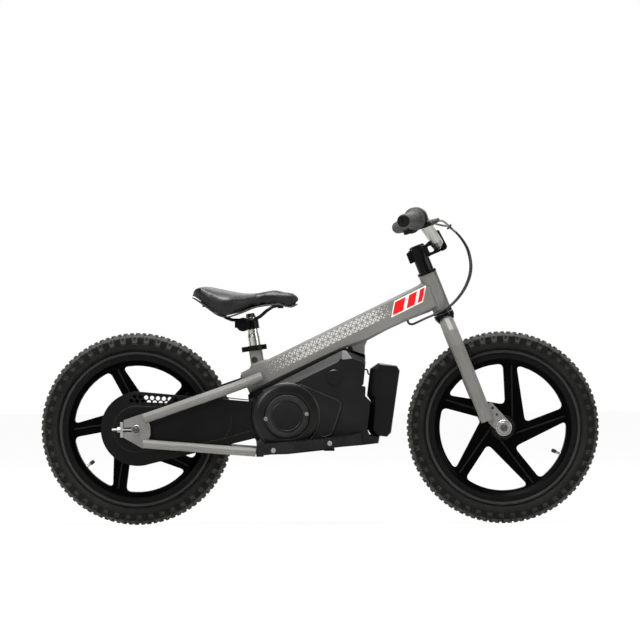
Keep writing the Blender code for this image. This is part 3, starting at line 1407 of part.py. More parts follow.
def rail_route():
    half = [
        (-0.0804, RAIL_Y, 0.0448),
        (-0.0664, RAIL_Y, 0.0373),
        (-0.0484, RAIL_Y, 0.0238),
        (-0.0354, RAIL_Y, 0.0143),
        (-0.0234, RAIL_Y, 0.0098),
        (-0.0124, RAIL_Y, RAIL_ABOVE_PIVOT),
        (0.0126, RAIL_Y, RAIL_ABOVE_PIVOT),
        (0.0236, RAIL_Y, 0.0103),
        (0.0366, 0.0215, 0.0173),
        (0.0496, 0.0190, 0.0288),
        (0.0616, 0.0155, 0.0368),
        (0.0716, 0.0115, 0.0393),
        (0.0776, 0.0060, 0.0398),
        (0.0791, 0.0, 0.0398),
    ]
    other = [(x, -y, z) for x, y, z in reversed(half[:-1])]
    return [Vector(point) for point in half + other]


def add_saddle(frame):
    pad = loft([pad_section(station) for station in SADDLE_STATIONS])
    add_piece("saddle_pad", pad, "leather", frame, sharp=60.0)
    plate = loft([base_section(station, 0.0010) for station in SADDLE_STATIONS[2:12]])
    base = add_piece("saddle_base", plate, "black_plastic", frame)
    for side in (-1, 1):
        y = side * RAIL_Y
        boss = box((-0.0854, y - 0.0055, 0.0373), (-0.0764, y + 0.0055, 0.0495))
        fuse(base, f"rear_boss{side}", boss)
    nose = box((0.0731, -0.0080, 0.0338), (0.0851, 0.0080, 0.0478))
    fuse(base, "nose_boss", nose)
    route = rail_route()
    spare = (route[0] - route[1]) * 0.08
    other = Vector((spare.x, -spare.y, spare.z))
    way = [route[0] + spare] + route[1:-1] + [route[-1] + other]
    cut(base, "rail_way", swept(way, RAIL_RADIUS + GAP, 8))
    add_piece("saddle_rails", swept(route, RAIL_RADIUS, 8), "steel", frame)
    right_disc = rod(SEAT_DISC_RADIUS, -0.0270, -0.0157, 20)
    clamp = add_piece("rail_clamp", right_disc, "steel", frame)
    left_disc = rod(SEAT_DISC_RADIUS, 0.0157, 0.0270, 20)
    fuse(clamp, "left_disc", left_disc)
    bridge = box((-0.0175, -0.0170, -0.0070), (-0.0115, 0.0170, 0.0070))
    fuse(clamp, "bridge", bridge)
    ways = [rod(0.0033, -0.04, 0.04, 12)]
    for side in (-1, 1):
        ways.append(rod(RAIL_RADIUS + GAP, -0.04, 0.06, 12, "X", centre=(0.0, side * RAIL_Y, RAIL_ABOVE_PIVOT)))
    cut(clamp, "ways", *ways)


# Brake


def add_brake(frame, hub_half):
    low = DISC_Y - DISC_THICKNESS / 2
    high = DISC_Y + DISC_THICKNESS / 2
    profile = [
        (0.0200, hub_half + GAP),
        (0.0200, low),
        (DISC_RADIUS, low),
        (DISC_RADIUS, high),
        (0.0180, high),
    ]
    disc = add_piece("brake_disc", turned(profile, 28), "steel", frame)
    cut(disc, "bore", rod(REAR_AXLE_RADIUS + SHAFT_GAP, 0.0, 0.06, 14))
    block = box((-0.3580, 0.0300, 0.1880), (-0.3190, 0.0540, 0.2155))
    caliper = add_piece("brake_caliper", block, "black_paint")
    face = DROPOUT_Y - DROPOUT_THICKNESS / 2 - GAP
    fuse(caliper, "foot", box((-0.3740, 0.0445, 0.1890), (-0.3500, face, 0.2120)))
    slot = box((-0.3700, low - 0.0008, 0.1800), (-0.3260, high + 0.0008, 0.2300))
    collar = rod(REAR_COLLAR_RADIUS + 0.001, 0.04, 0.06, 14, centre=(-WHEELBASE / 2, 0.0, TYRE_RADIUS))
    cut(caliper, "slot", slot)
    cut(caliper, "collar_way", collar)


# Cables


def add_cable(name, points, radius=CABLE_RADIUS):
    """A cable along a smooth line, as a round curve with closed ends."""
    curve = bpy.data.curves.new(name, "CURVE")
    curve.dimensions = "3D"
    curve.bevel_depth = radius
    curve.bevel_resolution = 2
    curve.use_fill_caps = True
    spline = curve.splines.new("POLY")
    spline.points.add(len(points) - 1)
    for target, point in zip(spline.points, points):
        target.co = (*point, 1.0)
    curve.materials.append(make_material(name, "cable"))
    obj = bpy.data.objects.new(name, curve)
    bpy.context.collection.objects.link(obj)
    return obj


def down_the_front(shift):
    """The way both front cables take from their tie to the hole in the top tube."""
    way = [
        (0.2750, -0.0080, 0.6270),
        (0.2900, -0.0120, 0.6137),
        (0.3030, -0.0160, 0.5967),
        (0.3130, -0.0200, 0.5760),
        (0.3180, -0.0245, 0.5490),
        (0.3160, -0.0275, 0.5260),
        (0.3085, -0.0300, 0.5045),
        (0.2990, -0.0310, 0.4875),
        (0.2876, -0.0315, 0.4726),
        (0.2740, -0.0310, 0.4594),
        (0.2590, -0.0300, 0.4500),
        (0.2440, -0.0285, 0.4425),
        (0.2250, -0.0260, 0.4345),
        (0.2080, -0.0210, 0.4265),
        (0.1960, -0.0140, 0.4215),
        (0.1885, -0.0090, 0.4235),
        (0.1862, -0.0075, 0.4300),
        (0.1860, -0.0075, 0.4385),
    ]
    return [(x, y + shift, z) for x, y, z in way]


def add_cables():
    to_world = steering_matrix()
    right = to_world @ grip_matrix(-1, GRIP_INNER_Y)
    x, y, z = LEAD_EXIT
    start = right @ Vector((x + GAP, y, z))
    ahead = right @ Vector((x + 0.010, y, z))
    lead = [start, ahead, (0.2564, -0.1000, 0.6370), (0.2680, -0.0500, 0.6320)]
    add_cable("throttle_lead", smooth_route(lead + down_the_front(0.0), 1))
    tilt = Matrix.Rotation(math.radians(LEVER_TILT), 4, "Z")
    left = to_world @ grip_matrix(1, LEVER_PIVOT_Y) @ tilt
    x = LEVER_PIVOT_FORWARD - 0.004
    start = left @ Vector((x, 0.0, BARREL_END - GAP))
    ahead = left @ Vector((x, 0.0, BARREL_END - 0.012))
    brake = [start, ahead, (0.2520, 0.0560, 0.6340), (0.2660, 0.0240, 0.6300)]
    add_cable("brake_cable_front", smooth_route(brake + down_the_front(0.0055), 1))
    x, z = REAR_CABLE_HOLE
    rear = [
        (x, 0.0150, z),
        (x - 0.0005, 0.0240, z),
        (x - 0.0060, 0.0305, z - 0.0005),
        (-0.1100, 0.0330, 0.3215),
        (-0.1264, 0.0335, 0.3262),
        (-0.1450, 0.0338, 0.3198),
        (-0.1644, 0.0355, 0.3125),
        (-0.1994, 0.0500, 0.2998),
        (-0.2394, 0.0610, 0.2858),
        (-0.2700, 0.0630, 0.2755),
        (-0.2950, 0.0625, 0.2668),
        (-0.3150, 0.0580, 0.2590),
        (-0.3280, 0.0525, 0.2510),
        (-0.3350, 0.0485, 0.2410),
        (-0.3375, 0.0475, 0.2290),
        (-0.3380, 0.0475, 0.2155 + GAP),
    ]
    add_cable("brake_cable_rear", smooth_route(rear, 1))
    battery = [
        (0.0935, -0.0200, 0.3265),
        (0.0985, -0.0200, 0.3265),
        (0.1010, -0.0200, 0.3240),
        (0.1010, -0.0200, 0.3200),
        (0.1032, -0.0200, 0.3165),
        (0.1062, -0.0200, 0.3165),
    ]
    add_cable("battery_lead", smooth_route(battery, 2), 0.0016)


def main():
    clear_scene()
    head = (HEAD_LOW[0], 0.0, HEAD_LOW[1])
    tilt = math.radians(-HEAD_TILT)
    headset = make_frame("headset_axis", head, (0.0, tilt, 0.0))
    steering = make_frame("steering_axis", head, (0.0, tilt, 0.0))
    axle = steering_matrix().inverted() @ Vector((WHEELBASE / 2, 0.0, TYRE_RADIUS))
    front = make_frame("front_wheel_axis", axle, (0.0, -tilt, 0.0), steering)
    grip = grip_matrix(-1, GRIP_INNER_Y)
    throttle = make_frame("throttle_axis", grip.to_translation(), grip.to_euler(), steering)
    pivot = grip_matrix(1, LEVER_PIVOT_Y) @ Matrix.Rotation(math.radians(LEVER_TILT), 4, "Z")
    pivot = pivot @ Matrix.Translation((LEVER_PIVOT_FORWARD, 0.0, 0.002))
    lever = make_frame("lever_axis", pivot.to_translation(), pivot.to_euler(), steering)
    rear = make_frame("rear_wheel_axis", (-WHEELBASE / 2, 0.0, TYRE_RADIUS))
    motor = make_frame("motor_axis", (MOTOR_CENTRE[0], 0.0, MOTOR_CENTRE[1]))
    knob = make_frame("knob_axis", (KNOB_CENTRE[0], -CASE_HALF_WIDTH - GAP, KNOB_CENTRE[1]))
    foot = (SEAT_TUBE_FOOT[0], 0.0, SEAT_TUBE_FOOT[1])
    lean = (0.0, math.radians(-SEAT_TUBE_LEAN), 0.0)
    collar = make_frame("seat_tube_axis", foot, lean)
    post = make_frame("seat_height_axis", foot, lean)
    x, z = seat_local(SEAT_PIVOT)
    saddle = make_frame("saddle_axis", (x, 0.0, z), (0.0, -lean[1], 0.0), post)
    bpy.context.view_layer.update()

    add_main_frame()
    for side_name, flip in (("right", lambda shape: shape), ("left", mirrored)):
        add_rear_triangle(side_name, flip)
        add_tensioner(side_name, flip)
        add_footrest(side_name, flip)
    add_cradle()
    add_rear_axle()
    add_headset(headset)
    add_fork(steering, (axle.x, axle.z))
    add_front_axle(steering, (axle.x, axle.z))
    add_stem(steering)
    add_handlebar(steering)
    add_controls(steering, throttle, lever)
    add_rim("front_rim", FRONT_ARM_ANGLE, FRONT_AXLE_RADIUS, FRONT_HUB_HALF, front)
    add_tyre("front_tyre", front)
    add_rim("rear_rim", REAR_ARM_ANGLE, REAR_AXLE_RADIUS, REAR_HUB_HALF, rear)
    add_tyre("rear_tyre", rear)
    add_drive()
    add_rear_sprocket(rear, REAR_HUB_HALF)
    add_motor_sprocket(motor)
    add_brake(rear, REAR_HUB_HALF)
    add_case()
    add_power_knob(knob)
    add_battery()
    add_seat_collar(collar)
    add_seat_post(post)
    add_saddle(saddle)
    add_cables()
    add_lead_sockets()


def add_lead_sockets():
    """Round holes in the case and the battery for the battery's lead."""
    case_hole = rod(0.0021, 0.0850, 0.1040, 10, "X", centre=(0.0, -0.0200, 0.3265), phase=0.2)
    cut(bpy.data.objects["case_right"], "lead_hole", case_hole)
    battery_hole = rod(0.0021, 0.0980, 0.1077, 10, "X", centre=(0.0, -0.0200, 0.3165))
    cut(bpy.data.objects["battery_shell_right"], "lead_hole", battery_hole)


main()
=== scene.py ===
"""Electric balance bike: dressed pieces, materials, stage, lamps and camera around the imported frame."""

import math

import bmesh
import bpy
from mathutils import Matrix, Vector
from mathutils.bvhtree import BVHTree
from mathutils.geometry import tessellate_polygon


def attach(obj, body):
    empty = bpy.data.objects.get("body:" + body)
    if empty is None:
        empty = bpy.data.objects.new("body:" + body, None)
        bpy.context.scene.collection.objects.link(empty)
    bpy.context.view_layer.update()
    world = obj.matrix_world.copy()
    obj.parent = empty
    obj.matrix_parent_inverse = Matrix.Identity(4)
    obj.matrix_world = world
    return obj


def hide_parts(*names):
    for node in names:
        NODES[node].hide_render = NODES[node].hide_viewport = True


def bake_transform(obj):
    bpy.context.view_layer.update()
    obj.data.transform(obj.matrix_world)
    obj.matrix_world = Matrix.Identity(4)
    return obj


bl_info = {
    "name": "Electric balance bike",
    "version": (1, 0, 0),
    "blender": (4, 5, 0),
    "location": "3D View > Sidebar > Balance Bike",
    "description": "Builds the tyres, rims, saddle, cables and finishes of a small electric balance bike",
    "category": "Object",
}

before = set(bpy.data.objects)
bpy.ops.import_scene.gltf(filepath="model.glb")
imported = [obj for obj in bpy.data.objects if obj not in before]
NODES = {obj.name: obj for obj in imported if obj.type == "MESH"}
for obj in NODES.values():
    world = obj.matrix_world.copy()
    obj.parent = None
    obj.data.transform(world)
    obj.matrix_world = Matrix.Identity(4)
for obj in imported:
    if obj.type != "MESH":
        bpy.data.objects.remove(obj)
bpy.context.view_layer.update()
SIDES = (("right", -1.0), ("left", 1.0))
AXLE_X = 0.386
AXLE_HEIGHT = 0.203


def to_linear(level):
    """A display level from 0 to 255 as linear light."""
    value = level / 255.0
    return value / 12.92 if value <= 0.04045 else ((value + 0.055) / 1.055) ** 2.4


def colour(red, green, blue):
    return (to_linear(red), to_linear(green), to_linear(blue))


# Sizes and colours a user may change


def length_value(name, description, default):
    return bpy.props.FloatProperty(name=name, description=description, default=default, unit="LENGTH")


def count_value(name, description, default, least):
    return bpy.props.IntProperty(name=name, description=description, default=default, min=least)


def colour_value(name, description, *levels):
    return bpy.props.FloatVectorProperty(
        name=name, description=description, subtype="COLOR", size=3, default=colour(*levels)
    )


class WheelSizes(bpy.types.PropertyGroup):
    tyre_radius: length_value("Tyre radius", "From the axle to the top of the tread", AXLE_HEIGHT)
    shoulder_knobs: count_value("Shoulder knobs", "Knobs around each shoulder of a tyre", 48, 12)
    rim_radius: length_value("Rim radius", "From the axle to the rim's outer edge", 0.1634)
    arms: count_value("Arms", "Arms of each wheel", 5, 3)
    wheelbase: length_value("Wheelbase", "Between the two axles", AXLE_X * 2.0)


class SaddleSizes(bpy.types.PropertyGroup):
    swell: length_value("Swell", "How far the foam may stand out", 0.0025)
    voxel: length_value("Foam grain", "Size of the remeshed faces", 0.005)


class CableSizes(bpy.types.PropertyGroup):
    radius: length_value("Cable radius", "Radius of the outer casing", 0.0024)


class BikeColours(bpy.types.PropertyGroup):
    paint: colour_value("Frame paint", "Warm grey of the frame and fork", 100, 99, 96)
    rubber: colour_value("Tyre rubber", "Black of the tyres", 22, 22, 21)
    plastic: colour_value("Case plastic", "Black of the drive case and the battery", 9, 9, 9)
    cover: colour_value("Saddle cover", "Black of the saddle's cover", 11, 11, 11)
    accent: colour_value("Accent stripe", "Red of the slanted bars on the top tube", 196, 2, 6)


class StudioLight(bpy.types.PropertyGroup):
    key: bpy.props.FloatProperty(
        name="Key lamp", description="Power of the large lamp", default=205.0, unit="POWER"
    )
    fill: bpy.props.FloatProperty(
        name="Fill lamp", description="Power of the side lamps", default=36.0, unit="POWER"
    )
    surround: bpy.props.FloatProperty(
        name="Surround", description="Level of the even light from all round", default=0.12, min=0.0
    )


# Shader nodes written as expressions


class Signal:
    """One output of a shader node; arithmetic on it adds Math nodes."""

    def __init__(self, nodes, socket):
        self.nodes = nodes
        self.socket = socket

    def math(self, operation, *values):
        return self.nodes.node("ShaderNodeMath", {"operation": operation}, dict(enumerate(values)))

    def __add__(self, other):
        return self.math("ADD", self, other)

    __radd__ = __add__

    def __sub__(self, other):
        return self.math("SUBTRACT", self, other)

    def __rsub__(self, other):
        return self.math("SUBTRACT", other, self)

    def __mul__(self, other):
        return self.math("MULTIPLY", self, other)

    __rmul__ = __mul__

    def __truediv__(self, other):
        return self.math("DIVIDE", self, other)

    def __rtruediv__(self, other):
        return self.math("DIVIDE", other, self)

    def __gt__(self, other):
        return self.math("GREATER_THAN", self, other)

    def __lt__(self, other):
        return self.math("LESS_THAN", self, other)

    def absolute(self):
        return self.math("ABSOLUTE", self)

    def root(self):
        return self.math("SQRT", self)

    def sine(self):
        return self.math("SINE", self)

    def remainder(self, size):
        return self.math("FLOORED_MODULO", self, size)

    def lesser(self, other):
        return self.math("MINIMUM", self, other)

    def greater(self, other):
        return self.math("MAXIMUM", self, other)

    def ramp(self, low, high):
        """0 at low and 1 at high, with a smooth step between."""
        return self.nodes.node(
            "ShaderNodeMapRange",
            {"interpolation_type": "SMOOTHSTEP"},
            {"Value": self, "From Min": low, "From Max": high},
        )


class Nodes:
    """A node tree in the making."""

    def __init__(self, tree):
        self.tree = tree

    def feed(self, socket, value):
        if isinstance(value, Signal):
            self.tree.links.new(value.socket, socket)
        elif socket.type == "RGBA":
            socket.default_value = (*value[:3], 1.0)
        else:
            socket.default_value = value

    def node(self, kind, settings=None, inputs=None, output=0):
        node = self.tree.nodes.new(kind)
        for key, value in (settings or {}).items():
            setattr(node, key, value)
        for key, value in (inputs or {}).items():
            self.feed(node.inputs[key], value)
        return Signal(self, node.outputs[output])

    def seen_white(self):
        """1 for what the camera sees of the studio, straight or in a reflection."""
        camera = self.node("ShaderNodeLightPath", output="Is Camera Ray")
        glossy = Signal(self, camera.socket.node.outputs["Is Glossy Ray"])
        through = Signal(self, camera.socket.node.outputs["Is Transmission Ray"])
        return camera.greater(glossy).greater(through)


class Finish(Nodes):
    """A material in the making."""

    def __init__(self, name, base, roughness, metallic=0.0, **constants):
        self.material = bpy.data.materials.new(name)
        self.material.use_nodes = True
        self.material.diffuse_color = (*base, 1.0)
        super().__init__(self.material.node_tree)
        self.shader = self.tree.nodes["Principled BSDF"]
        self.set("Base Color", base)
        self.set("Roughness", roughness)
        self.set("Metallic", metallic)
        for socket, value in constants.items():
            self.set(socket.replace("_", " "), value)
        self.place = self.node("ShaderNodeTexCoord", output="Object")
        apart = self.node("ShaderNodeSeparateXYZ", None, {0: self.place}).socket.node
        self.x, self.y, self.z = (Signal(self, socket) for socket in apart.outputs)

    def set(self, name, value):
        self.feed(self.shader.inputs[name], value)

    def noise(self, scale, detail=3.0, roughness=0.55, stretch=None):
        place = self.place
        if stretch:
            place = self.node("ShaderNodeVectorMath", {"operation": "MULTIPLY"}, {0: place, 1: stretch})
        inputs = {"Vector": place, "Scale": scale, "Detail": detail, "Roughness": roughness}
        return self.node("ShaderNodeTexNoise", None, inputs)

    def cells(self, scale, feature="F1"):
        inputs = {"Vector": self.place, "Scale": scale}
        return self.node("ShaderNodeTexVoronoi", {"feature": feature}, inputs, "Distance")

    def from_axle(self):
        """Distance from the nearer axle, for finishes that run round a wheel."""
        ahead = self.x.absolute() - bpy.context.scene.wheel_sizes.wheelbase / 2.0
        up = self.z - AXLE_HEIGHT
        return (ahead * ahead + up * up).root()

    def mix(self, factor, first, second):
        return self.node("ShaderNodeMix", {"data_type": "RGBA"}, {0: factor, 6: first, 7: second}, 2)

    def coat(self, tone, roughness, height, depth, strength):
        """Feeds what varies over the surface and gives the material."""
        self.set("Base Color", tone)
        self.set("Roughness", roughness)
        inputs = {"Height": height, "Distance": depth, "Strength": strength}
        self.set("Normal", self.node("ShaderNodeBump", None, inputs))
        return self.material


def shade(base, factor):
    return tuple(max(0.0, min(1.0, value * factor)) for value in base)


# Finishes

# Where the print on the top tube starts and which way it runs, in X and Z
PRINT_START = (-0.1085, 0.3490)
PRINT_END = (0.2070, 0.5031)
PRINT_SLOPE = math.atan2(PRINT_END[1] - PRINT_START[1], PRINT_END[0] - PRINT_START[0])
# Distances along the print, slanted, at which its bars start and end
PRINT_BARS = ((0.284, 0.309), (0.317, 0.336), (0.343, 0.354))


def frame_paint(base, graphics=False):
    """Satin paint with a faint orange peel and handling marks; the top tube also carries its print."""
    finish = Finish(
        "top_tube_paint" if graphics else "frame_paint", base, 0.42,
        Specular_IOR_Level=0.28, Coat_Weight=0.06, Coat_Roughness=0.20,
    )
    soft = finish.noise(9.0, 2.0)
    specks = finish.noise(900.0, 1.0).ramp(0.55, 0.75)
    paint = finish.mix(soft.ramp(0.35, 0.7), shade(base, 0.94), shade(base, 1.05))
    paint = finish.mix(specks * 0.18, paint, shade(base, 1.5))
    if graphics:
        paint = printed_fade(finish, paint)
    return finish.coat(paint, 0.36 + soft * 0.12, finish.noise(260.0, 1.0), 0.00012, 0.35)


def printed_fade(finish, paint):
    """Pale triangles that grow along the top tube, then three slanted bars, on both sides of the tube."""
    cos, sin = math.cos(PRINT_SLOPE), math.sin(PRINT_SLOPE)
    ahead, above = finish.x - PRINT_START[0], finish.z - PRINT_START[1]
    along = ahead * cos + above * sin
    down = ahead * sin - above * cos
    side = finish.y.absolute() > 0.0185
    start, size = 0.0050, 0.0132
    across = (along / size).remainder(1.0)
    up = ((down - start) / size).remainder(1.0)
    slant_gap = (across - up).absolute().lesser((across + up - 1.0).absolute()) * 0.7071
    edge_gap = across.lesser(1.0 - across).lesser(up.lesser(1.0 - up))
    growth = along.ramp(-0.05, 0.08) * (1.0 - along.ramp(0.235, 0.285) * 0.7)
    mark = slant_gap.lesser(edge_gap) > (0.185 - growth * 0.125)
    inside = (down > start) * (down < start + size * 2.0) * (along > -0.012) * (along < 0.276)
    paint = finish.mix(mark * inside * side * (0.22 + growth * 0.42), paint, colour(200, 199, 195))
    slant = along + (down - 0.022) * 0.75
    bars = sum((slant > first) * (slant < last) for first, last in PRINT_BARS)
    band = (down > 0.0100) * (down < 0.0335)
    border = (slant > 0.2815) * (slant < 0.3565) * (down > 0.0075) * (down < 0.0360)
    paint = finish.mix(border * side * (1.0 - bars * band), paint, colour(206, 206, 202))
    return finish.mix(bars * band * side, paint, tuple(bpy.context.scene.bike_colours.accent))


def moulded(name, base, roughness, grain=900.0, depth=0.00010, dust=0.35, gloss=0.34):
    """Moulded plastic or rubber: a fine spark-eroded grain, soft wear and a little dust."""
    finish = Finish(name, base, roughness, Specular_IOR_Level=gloss)
    broad = finish.noise(14.0, 3.0)
    tone = finish.mix(broad.ramp(0.35, 0.75), shade(base, 0.88), shade(base, 1.0 + dust))
    return finish.coat(tone, (roughness - 0.05) + broad * 0.12, finish.noise(grain, 2.0), depth, 0.5)


def tyre_rubber(base):
    """Rubber with mould lines round the sidewall; lighter between the knobs and on their tops, as dust and
    wear together with painted light, and darker on the knobs' outer sides as painted shade.
    """
    finish = Finish("tyre_rubber", base, 0.66, Specular_IOR_Level=0.08)
    radius = finish.from_axle()
    broad = finish.noise(22.0, 4.0)
    rings = (radius * 5200.0).sine() * (radius > 0.166) * (radius < 0.1745)
    across = finish.y.absolute()
    casing = 0.0262 - (radius - 0.1800).greater(0.0) * 0.30
    # Painted shade: the knobs' outer sides are darkened.
    knob_side_shade = (across > casing) * (radius > 0.1808) * (radius < 0.1925)
    gap = (across < casing) * radius.ramp(0.1795, 0.1830)
    top = radius.ramp(0.1920, 0.1960)
    dust = 0.55 + broad * 0.45
    tone = finish.mix(broad.ramp(0.3, 0.75), shade(base, 0.95), shade(base, 1.45))
    # Painted light together with dust and wear: the casing between the knobs and the knobs' tops are
    # lightened.
    tone = finish.mix(gap * dust, tone, shade(base, 4.0))
    tone = finish.mix(top * dust, tone, shade(base, 6.0))
    tone = finish.mix(knob_side_shade * 0.9, tone, shade(base, 0.55))
    height = finish.noise(700.0, 2.0) * 0.6 + rings * 0.35
    return finish.coat(tone, 0.60 + broad * 0.25, height, 0.00016, 0.6)


def saddle_leather(base):
    """Pebbled leather-like cover with a soft sheen."""
    finish = Finish("saddle_cover", base, 0.38, Specular_IOR_Level=0.36)
    broad = finish.noise(16.0, 3.0)
    pebble = finish.cells(620.0)
    crease = finish.cells(210.0, "DISTANCE_TO_EDGE")
    tone = finish.mix(broad.ramp(0.3, 0.75), shade(base, 0.85), shade(base, 1.15))
    # Painted shade: the cover is darkened along the creases.
    tone = finish.mix((1.0 - crease.ramp(0.0, 0.08)) * 0.35, tone, shade(base, 0.55))
    height = (1.0 - pebble.ramp(0.0, 0.9)) * 0.7 + crease.ramp(0.0, 0.10) * 0.5
    return finish.coat(tone, 0.36 + broad * 0.16, height, 0.00018, 0.55)


def wheel_black(base):
    """Black moulded wheel, darkest on the arms and in the recesses; the band, lip, ribs and hub are
    lightened as painted highlights.
    """
    finish = Finish("wheel_black", base, 0.34, Specular_IOR_Level=0.03)
    radius = finish.from_axle()
    broad = finish.noise(18.0, 3.0)
    rib = (finish.y.absolute() > 0.0098) * (radius > 0.0290) * (radius < 0.1330)
    tone = finish.mix(broad.ramp(0.3, 0.75), shade(base, 0.12), shade(base, 0.35))
    # Painted highlights: the band, the ribs with the hub, and the lip are lightened.
    tone = finish.mix(radius.ramp(0.1436, 0.1462), tone, shade(base, 1.9))
    tone = finish.mix(rib.greater(radius < 0.0270), tone, shade(base, 3.2))
    tone = finish.mix(radius > 0.1576, tone, shade(base, 9.0))
    return finish.coat(tone, 0.30 + broad * 0.14, finish.noise(480.0, 2.0), 0.00010, 0.35)


def satin_black(name, base, roughness):
    """Powder coat over metal or moulded parts: a very fine texture and slightly worn tone."""
    finish = Finish(name, base, roughness, Specular_IOR_Level=0.09)
    broad = finish.noise(18.0, 3.0)
    tone = finish.mix(broad.ramp(0.3, 0.75), shade(base, 0.8), shade(base, 1.35))
    return finish.coat(tone, (roughness - 0.06) + broad * 0.14, finish.noise(480.0, 2.0), 0.00010, 0.35)


def metal(name, base, roughness, stretch=(1.0, 1.0, 6.0), scratch=0.25):
    """Bare metal with fine turning or brushing lines and dulled patches."""
    finish = Finish(name, base, roughness, 1.0)
    broad = finish.noise(30.0, 3.0)
    lines = finish.noise(420.0, 2.0, 0.6, stretch)
    tone = finish.mix(broad.ramp(0.3, 0.8), shade(base, 0.82), base)
    worn = (roughness - 0.04) + lines * scratch * 0.5 + broad * 0.08
    return finish.coat(tone, worn, lines, 0.00003, 0.15)


# Mesh helpers: a shape is a list of points and a list of faces


def joined(*shapes):
    points, faces = [], []
    for new_points, new_faces in shapes:
        start = len(points)
        points += list(new_points)
        faces += [tuple(index + start for index in face) for face in new_faces]
    return points, faces


def moved(shape, matrix):
    return [matrix @ Vector(point) for point in shape[0]], shape[1]


def rotation(degrees, axis):
    return Matrix.Rotation(math.radians(degrees), 4, axis)


def at(x, z):
    return Matrix.Translation((x, 0.0, z))


def polar(radius, degrees, centre=(0.0, 0.0)):
    angle = math.radians(degrees)
    return centre[0] + radius * math.cos(angle), centre[1] + radius * math.sin(angle)


def arc(radius, start, end, steps, centre=(0.0, 0.0)):
    return [polar(radius, start + (end - start) * i / steps, centre) for i in range(steps + 1)]


def circle(radius, count, centre=(0.0, 0.0), phase=0.0):
    return [polar(radius, phase + 360.0 * i / count, centre) for i in range(count)]


def mirrored(half):
    """A profile of (radius, y) and its likeness on the other side of the middle."""
    return half + [(radius, -y) for radius, y in reversed(half)]


def lofted(rings, closed=False):
    """A skin over rings of equal counts, capped at both ends or joined from the last to the first."""
    count, rows = len(rings[0]), len(rings)
    faces = []
    for row in range(rows if closed else rows - 1):
        after = (row + 1) % rows
        for i in range(count):
            j = (i + 1) % count
            faces.append((row * count + i, row * count + j, after * count + j, after * count + i))
    if not closed:
        faces += [tuple(reversed(range(count))), tuple(range((rows - 1) * count, rows * count))]
    return [point for ring in rings for point in ring], faces


def turned(profile, steps, matrix, closed=False):
    """A profile of (radius, height) turned about the frame's Z."""
    turns = [2.0 * math.pi * i / steps for i in range(steps)]
    rings = []
    for radius, height in profile:
        around = [Vector((radius * math.cos(turn), radius * math.sin(turn), height)) for turn in turns]
        rings.append([matrix @ point for point in around])
    return lofted(rings, closed)


def about_y(profile, steps, place, closed=False):
    """A profile of (radius, y) turned about the frame's Y."""
    return turned([(radius, -y) for radius, y in profile], steps, place @ rotation(90.0, "X"), closed)


def swept(route, radius, sides=14):
    """A round tube along a route of points, closed at both ends."""
    route = [Vector(point) for point in route]
    rings, normal = [], None
    for i, here in enumerate(route):
        ahead = (route[min(i + 1, len(route) - 1)] - route[max(i - 1, 0)]).normalized()
        if normal is None:
            normal = ahead.orthogonal().normalized()
        normal = (normal - ahead * normal.dot(ahead)).normalized()
        other = ahead.cross(normal)
        turns = [2.0 * math.pi * side / sides for side in range(sides)]
        rings.append([here + (normal * math.cos(turn) + other * math.sin(turn)) * radius for turn in turns])
    return lofted(rings)


def plate(edge, low, high, matrix=None, holes=()):
    """A flat plate in X and Z between two heights of Y, with holes through it."""
    loops = [edge] + [list(reversed(hole)) for hole in holes]
    corners = [corner for loop in loops for corner in loop]
    count = len(corners)
    points = [Vector((x, y, z)) for y in (low, high) for x, z in corners]
    faces = []
    for a, b, c in tessellate_polygon([[Vector((x, z, 0.0)) for x, z in loop] for loop in loops]):
        faces += [(a, b, c), (c + count, b + count, a + count)]
    start = 0
    for loop in loops:
        for i in range(len(loop)):
            j = start + (i + 1) % len(loop)
            i += start
            faces.append((i, j, j + count, i + count))
        start += len(loop)
    return moved((points, faces), matrix) if matrix else (points, faces)


def block(low, high, matrix=None):
    (x0, y0, z0), (x1, y1, z1) = low, high
    return plate([(x0, z0), (x1, z0), (x1, z1), (x0, z1)], y0, y1, matrix)


def raised(outline, y):
    """Points in X and Z set at a height of Y."""
    return [(x, y, z) for x, z in outline]


def curve(start, corner, end, steps):
    """Points of a curve from start to end that a corner draws in."""
    for k in range(steps + 1):
        t = k / steps
        yield tuple(start * (1 - t) ** 2 + corner * 2 * t * (1 - t) + end * t * t)


def rounded(corners, cut, count=5):
    """A closed outline whose corners are curved from cut before each corner to cut after it."""
    outline = []
    for i, corner in enumerate(corners):
        here = Vector(corner)
        before, after = Vector(corners[i - 1]) - here, Vector(corners[(i + 1) % len(corners)]) - here
        reach = cut[i] if isinstance(cut, list) else cut
        start, end = (here + way.normalized() * min(reach, way.length * 0.48) for way in (before, after))
        outline.extend(curve(start, here, end, count))
    return outline


def smooth_route(route, steps):
    """Points of a smooth curve through the given ones."""
    route = [Vector(point) for point in route]
    points = []
    for i in range(len(route) - 1):
        before, here = route[max(i - 1, 0)], route[i]
        after, last = route[i + 1], route[min(i + 2, len(route) - 1)]
        first, second = after - before, 2 * before - 5 * here + 4 * after - last
        third = 3 * here - before - 3 * after + last
        for k in range(steps):
            t = k / steps
            points.append(0.5 * (2 * here + first * t + second * t * t + third * t * t * t))
    return points + [route[-1]]


